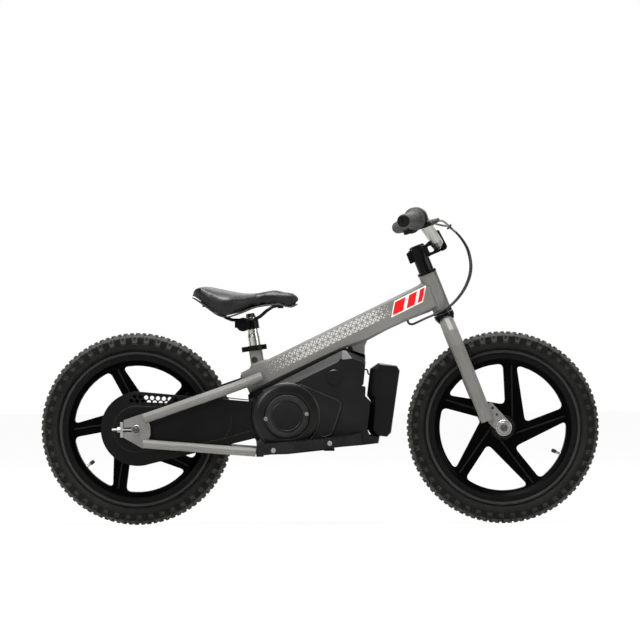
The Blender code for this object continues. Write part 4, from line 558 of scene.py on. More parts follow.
def add_piece(
    name, shape, material, body="frame", node=None, sharp=35.0, bevel=0.0, segments=2
):
    """An object that rides on a body, or on none when it is given a pair of bodies, and stands for a node
    where one is named.
    """
    mesh = bpy.data.meshes.new(name)
    mesh.from_pydata([tuple(point) for point in shape[0]], [], shape[1])
    work = bmesh.new()
    work.from_mesh(mesh)
    bmesh.ops.remove_doubles(work, verts=work.verts, dist=1e-7)
    bmesh.ops.recalc_face_normals(work, faces=work.faces)
    work.to_mesh(mesh)
    work.free()
    piece = bpy.data.objects.new(name, mesh)
    bpy.context.scene.collection.objects.link(piece)
    mesh.materials.append(material)
    smooth(piece, sharp)
    if bevel:
        soften(piece, bevel, segments)
    if isinstance(body, str):
        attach(piece, body)
    else:
        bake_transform(piece)
    if node:
        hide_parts(node)
    return piece


def smooth(piece, sharp):
    piece.data.shade_smooth()
    piece.data.set_sharp_from_angle(angle=math.radians(sharp))


def soften(piece, width, segments=2):
    """Rounds the edges, as moulding and paint do."""
    edges = piece.modifiers.new("soft_edges", "BEVEL")
    edges.width = width
    edges.segments = segments
    edges.limit_method = "ANGLE"
    edges.angle_limit = math.radians(32.0)
    edges.harden_normals = False


# Where things are: the steering frame and the grips, repeated from the model

STEERING = Matrix.Translation((0.2585, 0.0, 0.4523)) @ rotation(-21.7, "Y")
SWEEP = math.radians(14.6)
UPSWEEP = math.radians(1.7)
GRIP_START = 0.158
GRIP_END = 0.262
# Where the straight part of the bar starts, in the steering frame
BAR_BEND = (0.0317, 0.085, 0.1944)


def on_grip(side, y):
    """The point of the bar's axis this far from the middle, and the way outwards there."""
    ahead, start, up = BAR_BEND
    along = Vector((-math.sin(SWEEP), side * math.cos(SWEEP) * math.cos(UPSWEEP), math.sin(UPSWEEP)))
    along.normalize()
    return Vector((ahead, side * start, up)) + along * ((y - start) / abs(along.y)), along


def grip_matrix(side, y):
    """A frame on the bar's axis, Z outwards along the grip and X forward."""
    origin, outward = on_grip(side, y)
    forward = (Vector((1, 0, 0)) - outward * outward.x).normalized()
    across = outward.cross(forward)
    matrix = Matrix((forward, across, outward)).transposed().to_4x4()
    matrix.translation = origin
    return STEERING @ matrix


# Wheels


def wheel_place(ahead):
    sizes = bpy.context.scene.wheel_sizes
    return at(ahead * sizes.wheelbase / 2.0, sizes.tyre_radius)


def knob(section, angle, width, taper, place):
    """One tread knob: a section of (radius, y) spread over an angle, narrower towards the ground."""
    count = len(section)
    low = min(radius for radius, _ in section)
    high = max(radius for radius, _ in section)
    points = []
    for end in (-1.0, 1.0):
        for radius, y in section:
            rise = (radius - low) / (high - low)
            turn = math.radians(angle) + end * width * (1.0 - taper * rise) / (2.0 * radius)
            points.append((radius * math.cos(turn), y, radius * math.sin(turn)))
    faces = [tuple(range(count)), tuple(reversed(range(count, 2 * count)))]
    faces += [(i, (i + 1) % count, (i + 1) % count + count, i + count) for i in range(count)]
    return moved((points, faces), place)


def tyre_shape(place, turn):
    """The casing with its bead, sidewall line and shoulders, and four rows of knobs on each side."""
    casing = [
        (0.2000, 0.000), (0.1998, 0.006), (0.1980, 0.0115), (0.1942, 0.0170), (0.1895, 0.0212),
        (0.1850, 0.0242), (0.1815, 0.0258), (0.1793, 0.0263), (0.1789, 0.0272), (0.1779, 0.0272),
        (0.1775, 0.0263), (0.1766, 0.0263), (0.1762, 0.0270), (0.1755, 0.0270), (0.1751, 0.0264),
        (0.1720, 0.0262), (0.1698, 0.0253), (0.1682, 0.0236), (0.1672, 0.0214), (0.1665, 0.0180),
        (0.1630, 0.0160), (0.1600, 0.0156), (0.1502, 0.0156),
    ]
    sizes = bpy.context.scene.wheel_sizes
    top = sizes.tyre_radius
    shoulder = [
        (0.1808, 0.0246), (0.1811, 0.0276), (0.1922, 0.0272), (0.1965, 0.0240), (top - 0.0040, 0.0196),
        (top - 0.0022, 0.0146), (0.1935, 0.0146),
    ]
    short = [(0.1880, 0.0205), (0.1890, 0.0232), (0.1935, 0.0228), (0.1965, 0.0200), (0.1925, 0.0165)]
    centre = [
        (0.1950, 0.0014), (top, 0.0014), (top - 0.0002, 0.0062), (top - 0.0010, 0.0118), (0.1935, 0.0118),
    ]
    # Section of a row's knobs, their place in the pitch, their width along the tread and their taper
    rows = (
        (shoulder, 0.0, 0.0130, 0.06), (short, 0.5, 0.0050, 0.15),
        (centre, 0.25, 0.0092, 0.10), (centre, 0.75, 0.0078, 0.10),
    )
    pitch = 360.0 / sizes.shoulder_knobs
    shapes = [about_y(casing[:1] + mirrored(casing[1:]), 192, place, closed=True)]
    for side in (-1.0, 1.0):
        for section, step, width, taper in rows:
            section = [(radius, side * y) for radius, y in section]
            for i in range(sizes.shoulder_knobs):
                shapes.append(knob(section, turn + pitch * (i + step), width, taper, place))
    return joined(*shapes)


class BIKE_OT_tyres(bpy.types.Operator):
    """Block-treaded tyres on both wheels"""

    bl_idname = "bike.tyres"
    bl_label = "Tyres"

    def execute(self, context):
        rubber = tyre_rubber(tuple(context.scene.bike_colours.rubber))
        for name, ahead, turn in (("front", 1.0, 2.0), ("rear", -1.0, 5.0)):
            add_piece(
                f"{name}_tyre_treaded", tyre_shape(wheel_place(ahead), turn), rubber, f"{name}_wheel",
                f"{name}_tyre", sharp=32.0, bevel=0.0006, segments=1,
            )
        return {"FINISHED"}


def arm_gap(angle, pitch):
    """The gap ahead of the arm at this angle, with rounded corners and its outer side along the rim."""
    hub = Vector(polar(0.0482, angle + 0.9))
    rim = [Vector(point) for point in arc(0.1335, angle + 6.4, angle + pitch - 6.0, 10)]

    def corner(before, here, after, cut):
        start, end = (here + (point - here).normalized() * cut for point in (before, after))
        return list(curve(start, here, end, 6))

    return (
        corner(rim[-1], hub, rim[0], 0.0125) + corner(hub, rim[0], rim[1], 0.0110)
        + [tuple(point) for point in rim[2:-2]] + corner(rim[-2], rim[-1], hub, 0.0110)
    )


def rim_shape(place, first_angle, axle_radius, hub_half):
    """Hoop, five swept arms with their ribs, and the hub with its rings."""
    sizes = bpy.context.scene.wheel_sizes
    top = sizes.rim_radius
    hoop = [
        (0.1494, 0.0165), (0.1520, 0.0165), (top - 0.0010, 0.0165), (top, 0.0174), (top, 0.0196),
        (top - 0.0008, 0.0204), (0.1592, 0.0205), (0.1580, 0.0198), (0.1564, 0.0180), (0.1545, 0.0180),
        (0.1535, 0.0187), (0.1470, 0.0187), (0.1455, 0.0184), (0.1442, 0.0174), (0.1400, 0.0138),
        (0.1360, 0.0116), (0.1352, 0.0122), (0.1340, 0.0122), (0.1335, 0.0116),
    ]
    hub = [
        (axle_radius, hub_half - 0.0015), (axle_radius + 0.0012, hub_half), (0.0165, hub_half),
        (0.0175, hub_half - 0.001), (0.0180, 0.0165), (0.0205, 0.0140), (0.0240, 0.0125), (0.0262, 0.0078),
    ]
    angles = [first_angle + 360.0 / sizes.arms * arm for arm in range(sizes.arms)]
    gaps = [arm_gap(angle, 360.0 / sizes.arms) for angle in angles]
    shapes = [
        about_y(mirrored(hoop), 160, place, closed=True),
        plate(circle(0.1380, 120), -0.0080, 0.0080, place, gaps + [circle(0.0150, 40)]),
        about_y(mirrored(hub), 64, place, closed=True),
    ]
    for angle in angles:
        outer = Vector(polar(0.1390, angle - 0.8))
        inner = Vector(polar(0.0204, angle - 83.2))
        along = (outer - inner).normalized()
        side = Vector((-along.y, along.x)) * 0.0017
        rib = [tuple(inner - side), tuple(outer - side), tuple(outer + side), tuple(inner + side)]
        shapes.append(plate(rib, -0.0118, 0.0118, place))
    return joined(*shapes)


def valve_shapes(place, angle):
    """A rubber-based valve stem with its nut and thread, and its cap."""
    outward = place @ rotation(-angle, "Y") @ rotation(90.0, "Y")
    stem = [
        (0.0042, 0.1375), (0.0042, 0.1352), (0.0034, 0.1335), (0.0031, 0.1320), (0.0026, 0.1318),
        (0.0026, 0.1235),
    ]
    for i in range(6):
        stem += [(0.0027, 0.1232 - i * 0.0006), (0.0024, 0.1229 - i * 0.0006)]
    cap = [(0.0038, 0.1238), (0.0040, 0.1230), (0.0040, 0.1165), (0.0036, 0.1146), (0.0022, 0.1138)]
    return turned(stem, 20, outward), turned(cap, 20, outward)


class BIKE_OT_rims(bpy.types.Operator):
    """Five-armed rims with their ribs, hubs and valve stems"""

    bl_idname = "bike.rims"
    bl_label = "Rims"

    def execute(self, context):
        black = wheel_black(colour(9, 9, 9))
        brass = metal("valve_metal", colour(196, 190, 176), 0.3)
        rubber = moulded("valve_cap", colour(20, 20, 20), 0.5)
        for name, ahead, first_angle, axle_radius, hub_half, valve in (
            ("front", 1.0, 83.2, 0.0048, 0.0430, -25.2),
            ("rear", -1.0, 109.0, 0.0052, 0.0360, 216.2),
        ):
            place, wheel = wheel_place(ahead), f"{name}_wheel"
            add_piece(
                f"{name}_rim_ribbed", rim_shape(place, first_angle, axle_radius, hub_half), black,
                wheel, f"{name}_rim", sharp=30.0, bevel=0.0011,
            )
            stem, cap = valve_shapes(place, valve)
            add_piece(f"{name}_valve_stem", stem, brass, wheel, sharp=50.0)
            add_piece(f"{name}_valve_cap", cap, rubber, wheel, sharp=50.0)
        return {"FINISHED"}


# Axle ends

# Name, body, X of the axle, the plate's outer face, radii of washer, nut and axle, lengths of nut and axle
AXLES = (
    ("front", "steering", AXLE_X, 0.0487, 0.0165, 0.0084, 0.0042, 0.0101, 0.0141),
    ("rear", "frame", -AXLE_X, 0.0633, 0.0098, 0.0090, 0.0046, 0.0085, 0.0135),
)
REAR_COLLAR = [(0.0046, 0.0445), (0.0080, 0.0445), (0.0080, 0.0567), (0.0046, 0.0567)]
# Centre in X and Z and radius of each black disc that stands for a hole in the fork's tips, as painted
# shade
TIP_HOLES = (((0.3623, 0.2449), 0.0030), ((0.3713, 0.2310), 0.0027))


def washer_profile(washer, nut, axle):
    """A plain washer of (radius, height), or a ringed one where it stands well out of the nut."""
    if washer - nut <= 0.004:
        return [(axle, 0.0), (washer, 0.0), (washer, 0.0010), (washer - 0.0006, 0.0015), (axle, 0.0015)]
    return [
        (axle, 0.0), (washer, 0.0), (washer, 0.0010), (washer - 0.0008, 0.0016), (washer - 0.0018, 0.0016),
        (washer - 0.0026, 0.0007), (washer - 0.0040, 0.0007), (washer - 0.0048, 0.0014), (axle, 0.0014),
    ]


class BIKE_OT_axles(bpy.types.Operator):
    """Axles with their washers, nuts and hollow ends, and black discs on the fork tips that stand for their
    holes as painted shade
    """

    bl_idname = "bike.axles"
    bl_label = "Axles"

    def execute(self, context):
        bright = metal("washer_steel", colour(190, 188, 184), 0.34)
        dark = metal("nut_steel", colour(104, 104, 102), 0.38)
        black = moulded("tip_hole_shade", colour(6, 6, 6), 0.6)
        for name, body, x, face, washer, nut, axle, nut_length, length in AXLES:
            place = at(x, AXLE_HEIGHT)
            inside = face + 0.0014
            rings, ends = [about_y([(axle, -inside), (axle, inside)], 32, place)], []
            tip = [
                (axle, nut_length - 0.001), (axle, length - 0.0008), (axle - 0.0007, length),
                (axle * 0.64, length), (axle * 0.58, length - 0.0022), (axle * 0.20, length - 0.0024),
                (axle * 0.20, nut_length - 0.001),
            ]
            for side in (-1.0, 1.0):
                if name == "rear":
                    collar = [(radius, side * y) for radius, y in REAR_COLLAR]
                    rings.append(about_y(collar, 32, place, closed=True))
                ring, end = (
                    [(radius, side * (face + height)) for radius, height in profile]
                    for profile in (washer_profile(washer, nut, axle), tip)
                )
                rings.append(about_y(ring, 56, place, closed=True))
                low, high = sorted((side * (face + 0.0012), side * (face + nut_length)))
                hexagon = circle(nut, 6, phase=11.0)
                ends.append(plate(hexagon, low, high, place, [circle(axle + 0.0002, 24)]))
                ends.append(about_y(end, 32, place, closed=True))
            node = f"{name}_axle"
            add_piece(f"{node}_washers", joined(*rings), bright, body, node, sharp=30.0)
            add_piece(f"{node}_nuts", joined(*ends), dark, body, node, sharp=30.0, bevel=0.0005)
        # Painted shade: black discs stand for the holes in the fork tips.
        for name, side in SIDES:
            hole_discs = []
            for centre, radius in TIP_HOLES:
                low, high = side * 0.0475, side * 0.0487
                hole_discs.append(about_y([(radius, low), (radius, high), (0.0004, high)], 28, at(*centre)))
            add_piece(f"fork_tip_hole_shade_{name}", joined(*hole_discs), black, "steering", sharp=40.0)
        return {"FINISHED"}


# Saddle

# X, and the heights of the crown, the widest line and the lower edge, with the half width
SADDLE_STATIONS = (
    (-0.2700, 0.4880, 0.4840, 0.4800, 0.0250),
    (-0.2620, 0.5030, 0.5000, 0.4760, 0.0420),
    (-0.2500, 0.5050, 0.5000, 0.4680, 0.0540),
    (-0.2350, 0.5033, 0.4870, 0.4570, 0.0620),
    (-0.2160, 0.5000, 0.4750, 0.4435, 0.0660),
    (-0.1970, 0.4958, 0.4695, 0.4380, 0.0675),
    (-0.1630, 0.4891, 0.4715, 0.4480, 0.0540),
    (-0.1460, 0.4882, 0.4770, 0.4550, 0.0420),
    (-0.1280, 0.4893, 0.4825, 0.4600, 0.0320),
    (-0.0930, 0.4951, 0.4860, 0.4637, 0.0230),
    (-0.0620, 0.4949, 0.4840, 0.4587, 0.0205),
    (-0.0500, 0.4900, 0.4790, 0.4630, 0.0170),
    (-0.0410, 0.4810, 0.4740, 0.4690, 0.0090),
)


def finer_stations(steps):
    """The stations with smooth ones between them."""

    def slope(before, after, span, reach):
        """Slope at a station: flat where the heights turn back, else the mean one, within limits."""
        if before * after <= 0:
            return 0.0
        return min(abs(reach) / 2, 3 * abs(span)) * math.copysign(1, span)

    rows = []
    count = len(SADDLE_STATIONS)
    for i in range(count - 1):
        nearby = [SADDLE_STATIONS[min(max(i + step, 0), count - 1)] for step in (-1, 0, 1, 2)]
        for k in range(steps):
            t = k / steps
            square, cube = t * t, t * t * t
            row = []
            for p0, p1, p2, p3 in zip(*nearby):
                span = p2 - p1
                first = slope(p1 - p0, span, span, p2 - p0)
                final = slope(span, p3 - p2, span, p3 - p1)
                row.append(
                    p1 * (2 * cube - 3 * square + 1) + first * (cube - 2 * square + t)
                    + p2 * (3 * square - 2 * cube) + final * (cube - square)
                )
            rows.append(tuple(row))
    return rows + [SADDLE_STATIONS[-1]]


SWELL_FRAMES = 20
# Lower side of the pad: share of the half width, and of the height from the lower edge to the widest line
PAD_FLANK = (
    (0.992, 0.85), (0.985, 0.70), (0.970, 0.52), (0.950, 0.35), (0.925, 0.18), (0.900, 0.06), (0.860, 0.0),
)


def pad_section(station, inset):
    """One cross-section of the pad: crowned above, drawn in at its lower edge and arched underneath."""
    x, crown, crease, edge, half = station
    half -= inset
    crown -= inset
    edge += inset
    arch = edge + 0.45 * (crown - edge)
    right = []
    for i in range(13):
        turn = math.pi / 2 * i / 12
        right.append((half * math.sin(turn), crease + (crown - crease) * max(math.cos(turn), 0.0) ** 1.2))
    right += [(half * width, edge + (crease - edge) * rise) for width, rise in PAD_FLANK]
    for i in range(1, 11):
        across = 0.84 * (1 - i / 10)
        right.append((half * across, edge + (arch - edge) * (1 - (across / 0.86) ** 2)))
    left = [(-y, z) for y, z in reversed(right[1:-1])]
    return [(x, y, z) for y, z in right + left]


def swell(piece, voxel, reach):
    """Blows the pad up as cloth, and holds every point within reach of where it was."""
    bpy.context.view_layer.objects.active = piece
    piece.select_set(True)
    remesh = piece.modifiers.new("even_faces", "REMESH")
    remesh.mode = "VOXEL"
    remesh.voxel_size = voxel
    bpy.ops.object.modifier_apply(modifier=remesh.name)
    before = [vertex.co.copy() for vertex in piece.data.vertices]
    cloth = piece.modifiers.new("cover", "CLOTH")
    cloth.settings.quality = 5
    cloth.settings.mass = 0.3
    cloth.settings.tension_stiffness = 15
    cloth.settings.compression_stiffness = 15
    cloth.settings.shear_stiffness = 5
    cloth.settings.bending_stiffness = 0.5
    cloth.settings.use_pressure = True
    cloth.settings.uniform_pressure_force = 4.0
    cloth.settings.effector_weights.gravity = 0.0
    cloth.point_cache.frame_start = 1
    cloth.point_cache.frame_end = SWELL_FRAMES
    scene = bpy.context.scene
    for moment in range(1, SWELL_FRAMES + 1):
        scene.frame_set(moment)
    bpy.ops.object.modifier_apply(modifier=cloth.name)
    scene.frame_set(1)
    for vertex, start in zip(piece.data.vertices, before):
        step = vertex.co - start
        if step.length > reach:
            vertex.co = start + step * (reach / step.length)
    piece.select_set(False)


def press_seam(piece):
    """A sewn line round the pad a little above its lower edge, with the cover drawn in to it."""
    rows = finer_stations(6)
    for vertex in piece.data.vertices:
        x, y, z = vertex.co
        _, _, crease, edge, half = min(rows, key=lambda row: abs(row[0] - x))
        if abs(y) > half * 0.7:
            away = (z - (crease * 0.35 + edge * 0.65)) / 0.0016
            vertex.co.y -= math.copysign(0.0012 * math.exp(-(away**2)), y)


class BIKE_OT_saddle(bpy.types.Operator):
    """Padded saddle with its cover, seam and edge strip"""

    bl_idname = "bike.saddle"
    bl_label = "Saddle"

    def execute(self, context):
        sizes = context.scene.saddle_sizes
        leather = saddle_leather(tuple(context.scene.bike_colours.cover))
        inset = sizes.swell
        shape = lofted([pad_section(station, inset) for station in finer_stations(4)])
        pad = add_piece("saddle_cushion", shape, leather, "saddle", "saddle_pad", sharp=80.0)
        swell(pad, sizes.voxel, sizes.swell)
        finer = pad.modifiers.new("smoother", "SUBSURF")
        finer.levels = finer.render_levels = 1
        context.view_layer.objects.active = pad
        bpy.ops.object.modifier_apply(modifier=finer.name)
        press_seam(pad)
        smooth(pad, 80.0)
        trim = moulded("saddle_edge", colour(24, 24, 24), 0.45)
        rows = finer_stations(4)[2:-3]
        for name, side in SIDES:
            route = [(x, side * (half * 0.885), edge + 0.0004) for x, _, _, edge, half in rows]
            add_piece(f"saddle_edge_{name}", swept(route, 0.0013, 8), trim, "saddle", sharp=60.0)
        return {"FINISHED"}


# Cables, with their boot and tie

DOWN_THE_FRONT = (
    (0.2750, -0.0080, 0.6270), (0.2900, -0.0120, 0.6137), (0.3030, -0.0160, 0.5967),
    (0.3130, -0.0200, 0.5760), (0.3180, -0.0245, 0.5490), (0.3160, -0.0275, 0.5260),
    (0.3085, -0.0300, 0.5045), (0.2990, -0.0310, 0.4875), (0.2876, -0.0315, 0.4726),
    (0.2740, -0.0310, 0.4594), (0.2590, -0.0300, 0.4500), (0.2440, -0.0285, 0.4425),
    (0.2250, -0.0260, 0.4345), (0.2080, -0.0210, 0.4265), (0.1960, -0.0140, 0.4215),
    (0.1885, -0.0090, 0.4235), (0.1862, -0.0075, 0.4300), (0.1860, -0.0075, 0.4385),
)
REAR_ROUTE = (
    (-0.0900, 0.0150, 0.3220), (-0.0905, 0.0240, 0.3220), (-0.0960, 0.0305, 0.3215),
    (-0.1100, 0.0330, 0.3215), (-0.1264, 0.0335, 0.3222), (-0.1450, 0.0338, 0.3158),
    (-0.1644, 0.0355, 0.3085), (-0.1994, 0.0500, 0.2962), (-0.2394, 0.0610, 0.2832),
    (-0.2700, 0.0630, 0.2740), (-0.2950, 0.0625, 0.2668), (-0.3150, 0.0580, 0.2590),
    (-0.3280, 0.0525, 0.2510), (-0.3350, 0.0485, 0.2410), (-0.3375, 0.0475, 0.2290),
    (-0.3380, 0.0475, 0.2158),
)
# The frame and the steering with two points of the front cables; pieces given this pair ride on neither
# body
CABLE_BEND = ("frame", "steering", (0.186, -0.0075, 0.4385), (0.275, -0.008, 0.6270))


def front_route(start, ahead, between, shift):
    """A route from the bar down the front into the tube, moved aside where two run together."""
    apart = []
    for i, (x, y, z) in enumerate(DOWN_THE_FRONT):
        spread = 0.55 * shift * math.sin(math.pi * min(max(i - 0.5, 0.0) / 11.0, 1.0))
        apart.append((x + spread, y + shift, z + spread * 0.3))
    return [start, ahead, *between, *apart]


def aimed(origin, along):
    """A frame at this point whose Z runs this way."""
    place = along.to_track_quat("Z", "Y").to_matrix().to_4x4()
    place.translation = origin
    return place


class BIKE_OT_cables(bpy.types.Operator):
    """Brake cable and throttle lead, with the ribbed boot and the tie that holds them"""

    bl_idname = "bike.cables"
    bl_label = "Cables"

    def execute(self, context):
        casing = moulded("cable_casing", colour(20, 20, 20), 0.26, 1200.0, 0.00004, 0.2, 0.5)
        right = grip_matrix(-1, GRIP_START)
        mouth, socket, straight = (
            right @ Vector((ahead, -0.0200, -0.0160)) for ahead in (0.0265, 0.0273, 0.0370)
        )
        lead = front_route(socket, straight, [(0.2564, -0.1000, 0.6370), (0.2680, -0.0500, 0.6320)], 0.0)
        left = grip_matrix(1, 0.122) @ rotation(32.0, "Z")
        brake = front_route(
            left @ Vector((0.026, 0.0, -0.0263)), left @ Vector((0.026, 0.0, -0.038)),
            [(0.2520, 0.0560, 0.6340), (0.2660, 0.0240, 0.6300)], 0.0055,
        )
        for name, route, steps, body, node in (
            ("throttle_lead_smooth", lead, 8, CABLE_BEND, "throttle_lead"),
            ("brake_cable_smooth", brake, 8, CABLE_BEND, "brake_cable_front"),
            ("rear_cable_smooth", REAR_ROUTE, 6, "frame", "brake_cable_rear"),
        ):
            tube = swept(smooth_route(route, steps), context.scene.cable_sizes.radius)
            add_piece(name, tube, casing, body, node, sharp=60.0)
        nylon = moulded("tie_nylon", colour(16, 16, 16), 0.35, 1500.0, 0.00003, 0.1)
        first, second = (Vector(point) for point in DOWN_THE_FRONT[:2])
        upright = aimed(first + Vector((0.0, 0.0028, 0.0)), second - first) @ rotation(90.0, "X")
        outside, inside = ([(x * 0.62, y) for x, y in circle(radius, 28)] for radius in (0.0066, 0.0056))
        tie = joined(
            plate(outside, -0.0016, 0.0016, upright, [inside]),
            block((0.0036, -0.0024, -0.0026), (0.0078, 0.0024, 0.0026), upright),
            block((0.0070, -0.0014, 0.0022), (0.0145, 0.0014, 0.0030), upright),
        )
        add_piece("cable_tie", tie, nylon, "steering", sharp=30.0, bevel=0.0003)
        grey = moulded("boot_rubber", colour(58, 57, 53), 0.5, 900.0, 0.00006, 0.2)
        ribs = []
        for i in range(7):
            rib, crest, valley = i * 0.0026, 0.0066 - i * 0.00038, 0.0056 - i * 0.00034
            ribs += [(crest, rib), (crest, rib + 0.0016), (valley, rib + 0.0018), (valley, rib + 0.0024)]
        boot = turned(ribs, 24, aimed(mouth, straight - mouth))
        add_piece("throttle_lead_boot", boot, grey, "steering", sharp=50.0)
        return {"FINISHED"}


# Grips

RING_PITCH = 0.0050


def grip_profile(length):
    """A flange and a tapering body with fine shallow rings, up to the cap's groove."""
    bore = 0.0116
    profile = [
        (bore, 0.0), (0.0222, 0.0), (0.0230, 0.0008), (0.0231, 0.0026), (0.0225, 0.0040), (0.0206, 0.0048),
        (0.0198, 0.0060), (0.0186, 0.0078), (0.0178, 0.0100),
    ]
    ring, end = 0.0125, length - 0.0060
    while ring < end - 0.006:
        radius = 0.0176 - 0.0046 * ring / length
        profile += [(radius - 0.0003, ring), (radius - 0.0003, ring + 0.0012)]
        profile += [(radius, ring + 0.0018), (radius, ring + 0.0044)]
        ring += RING_PITCH
    return profile + [(0.0131, end - 0.0010), (0.0126, end), (bore, end)]


def grip_cap_profile(length):
    """The rounded black cap at the grip's end."""
    start = length - 0.0062
    return [
        (0.0117, start), (0.0127, start), (0.0129, start + 0.0008), (0.0129, length - 0.0024),
        (0.0124, length - 0.0008), (0.0112, length), (0.0090, length), (0.0086, length - 0.0008),
        (0.0040, length - 0.0010), (0.0036, length - 0.0024),
    ]


class BIKE_OT_grips(bpy.types.Operator):
    """Ringed rubber grips with flanges, the right one a twist throttle with its housing"""

    bl_idname = "bike.grips"
    bl_label = "Grips"

    def execute(self, context):
        rubber = moulded("grip_rubber", colour(58, 58, 56), 0.55, 700.0, 0.00006, 0.3, 0.16)
        black = moulded("grip_cap_rubber", colour(12, 12, 12), 0.55, 700.0, 0.00008, 0.3, 0.12)
        length = (on_grip(1, GRIP_END)[0] - on_grip(1, GRIP_START)[0]).length
        for name, side, body, node in (
            ("throttle_grip_ringed", -1, "throttle", "throttle_grip"),
            ("left_grip_ringed", 1, "steering", "grip_left"),
        ):
            place = grip_matrix(side, GRIP_START)
            for piece, profile, finish in (
                (name, grip_profile(length), rubber), (f"{name}_cap", grip_cap_profile(length), black),
            ):
                add_piece(piece, turned(profile, 48, place), finish, body, node, sharp=40.0)
        place = grip_matrix(-1, GRIP_START)
        bore = 0.0113
        shell = [
            (bore, -0.0300), (0.0180, -0.0300), (0.0192, -0.0288), (0.0232, -0.0225), (0.0238, -0.0210),
            (0.0238, -0.0016), (0.0230, -0.0003), (bore, -0.0003),
        ]
        barrel = place @ Matrix.Translation((0.0, -0.0200, -0.0160)) @ rotation(90.0, "Y")
        housing = joined(
            turned(shell, 48, place, closed=True),
            block((-0.0345, -0.0232, -0.0275), (0.0115, -0.0130, -0.0050), place),
            turned([(0.0050, 0.006), (0.0050, 0.0262)], 24, barrel),
        )
        add_piece(
            "throttle_housing_rounded", housing, black, "steering", node="throttle_housing",
            bevel=0.0016, segments=3,
        )
        return {"FINISHED"}


# Drive side: cover, guard, disc and screws

MOTOR_CENTRE = (-0.0694, 0.2295)
COVER_FACE = -0.0583
# Outline in X and Z of the cover's part ahead of its round one
COVER_LOBE = [
    (-0.0650, 0.2980), (-0.0418, 0.2976), (0.0329, 0.2659), (0.0400, 0.2629),
    (0.0452, 0.2575), (0.0458, 0.2505), (0.0343, 0.2137), (0.0254, 0.1911),
    (0.0050, 0.1850), (-0.0300, 0.1800), (-0.0650, 0.2200),
]
# Outline in X and Z of the black strip at the tube's sides, painted shade in the gap above the case, and of
# the wedge ahead of it
SHADE_STRIP = [
    (0.0500, 0.3700), (-0.1430, 0.2800), (-0.1520, 0.2740), (-0.1500, 0.2560), (-0.1440, 0.2400),
    (-0.1250, 0.2500), (-0.1150, 0.2740), (0.0500, 0.3560),
]
SHADE_WEDGE = [(0.0440, 0.3760), (0.0960, 0.3580), (0.0960, 0.3440), (0.0440, 0.3560)]
GUARD_FACE = -0.0510
# Creases pressed into the guard, in X and Z
GUARD_CREASES = (
    [(-0.1880, 0.2290), (-0.1876, 0.2080), (-0.1950, 0.1940), (-0.2000, 0.1830), (-0.1830, 0.1650)],
    [(-0.2960, 0.1645), (-0.2040, 0.1830), (-0.1400, 0.2010)],
    [(-0.2180, 0.2722), (-0.1640, 0.2655), (-0.1400, 0.2640)],
)
COVER_SIDE = ("motor_cover_ringed", "case_right", "main_frame", "lower_cradle")
# Name, X and Z, radius, what it goes into, recess, whether it is bright, whether the left has one too
SCREWS = (
    ("cover_screw_rear", (-0.1139, 0.2243), 0.0040, COVER_SIDE, "cross", True, False),
    ("cover_screw_front", (-0.0281, 0.2344), 0.0040, COVER_SIDE, "cross", True, False),
    ("case_screw_rear", (-0.1227, 0.2652), 0.0042, ("case_right",), "cross", False, False),
    ("case_screw_middle", (0.0299, 0.2488), 0.0042, COVER_SIDE, "cross", False, False),
    ("case_screw_top", (0.0449, 0.3454), 0.0046, ("case_right",), "hex", False, True),
    ("case_screw_low", (0.1070, 0.1785), 0.0042, ("case_right",), "cross", False, True),
    ("frame_bolt", (0.0644, 0.3704), 0.0050, ("main_frame",), "hex", False, True),
)
FOOTREST_BOLTS = (("rear", -0.0980, 0.1592), ("front", 0.0198, 0.1739))
SEAT_PLUG = (-0.1376, 0.3479)


def on_cover(profile, steps=128):
    """A profile of (radius, height above the cover's face) turned about the motor's axis."""
    return about_y([(radius, COVER_FACE - rise) for radius, rise in profile], steps, at(*MOTOR_CENTRE))


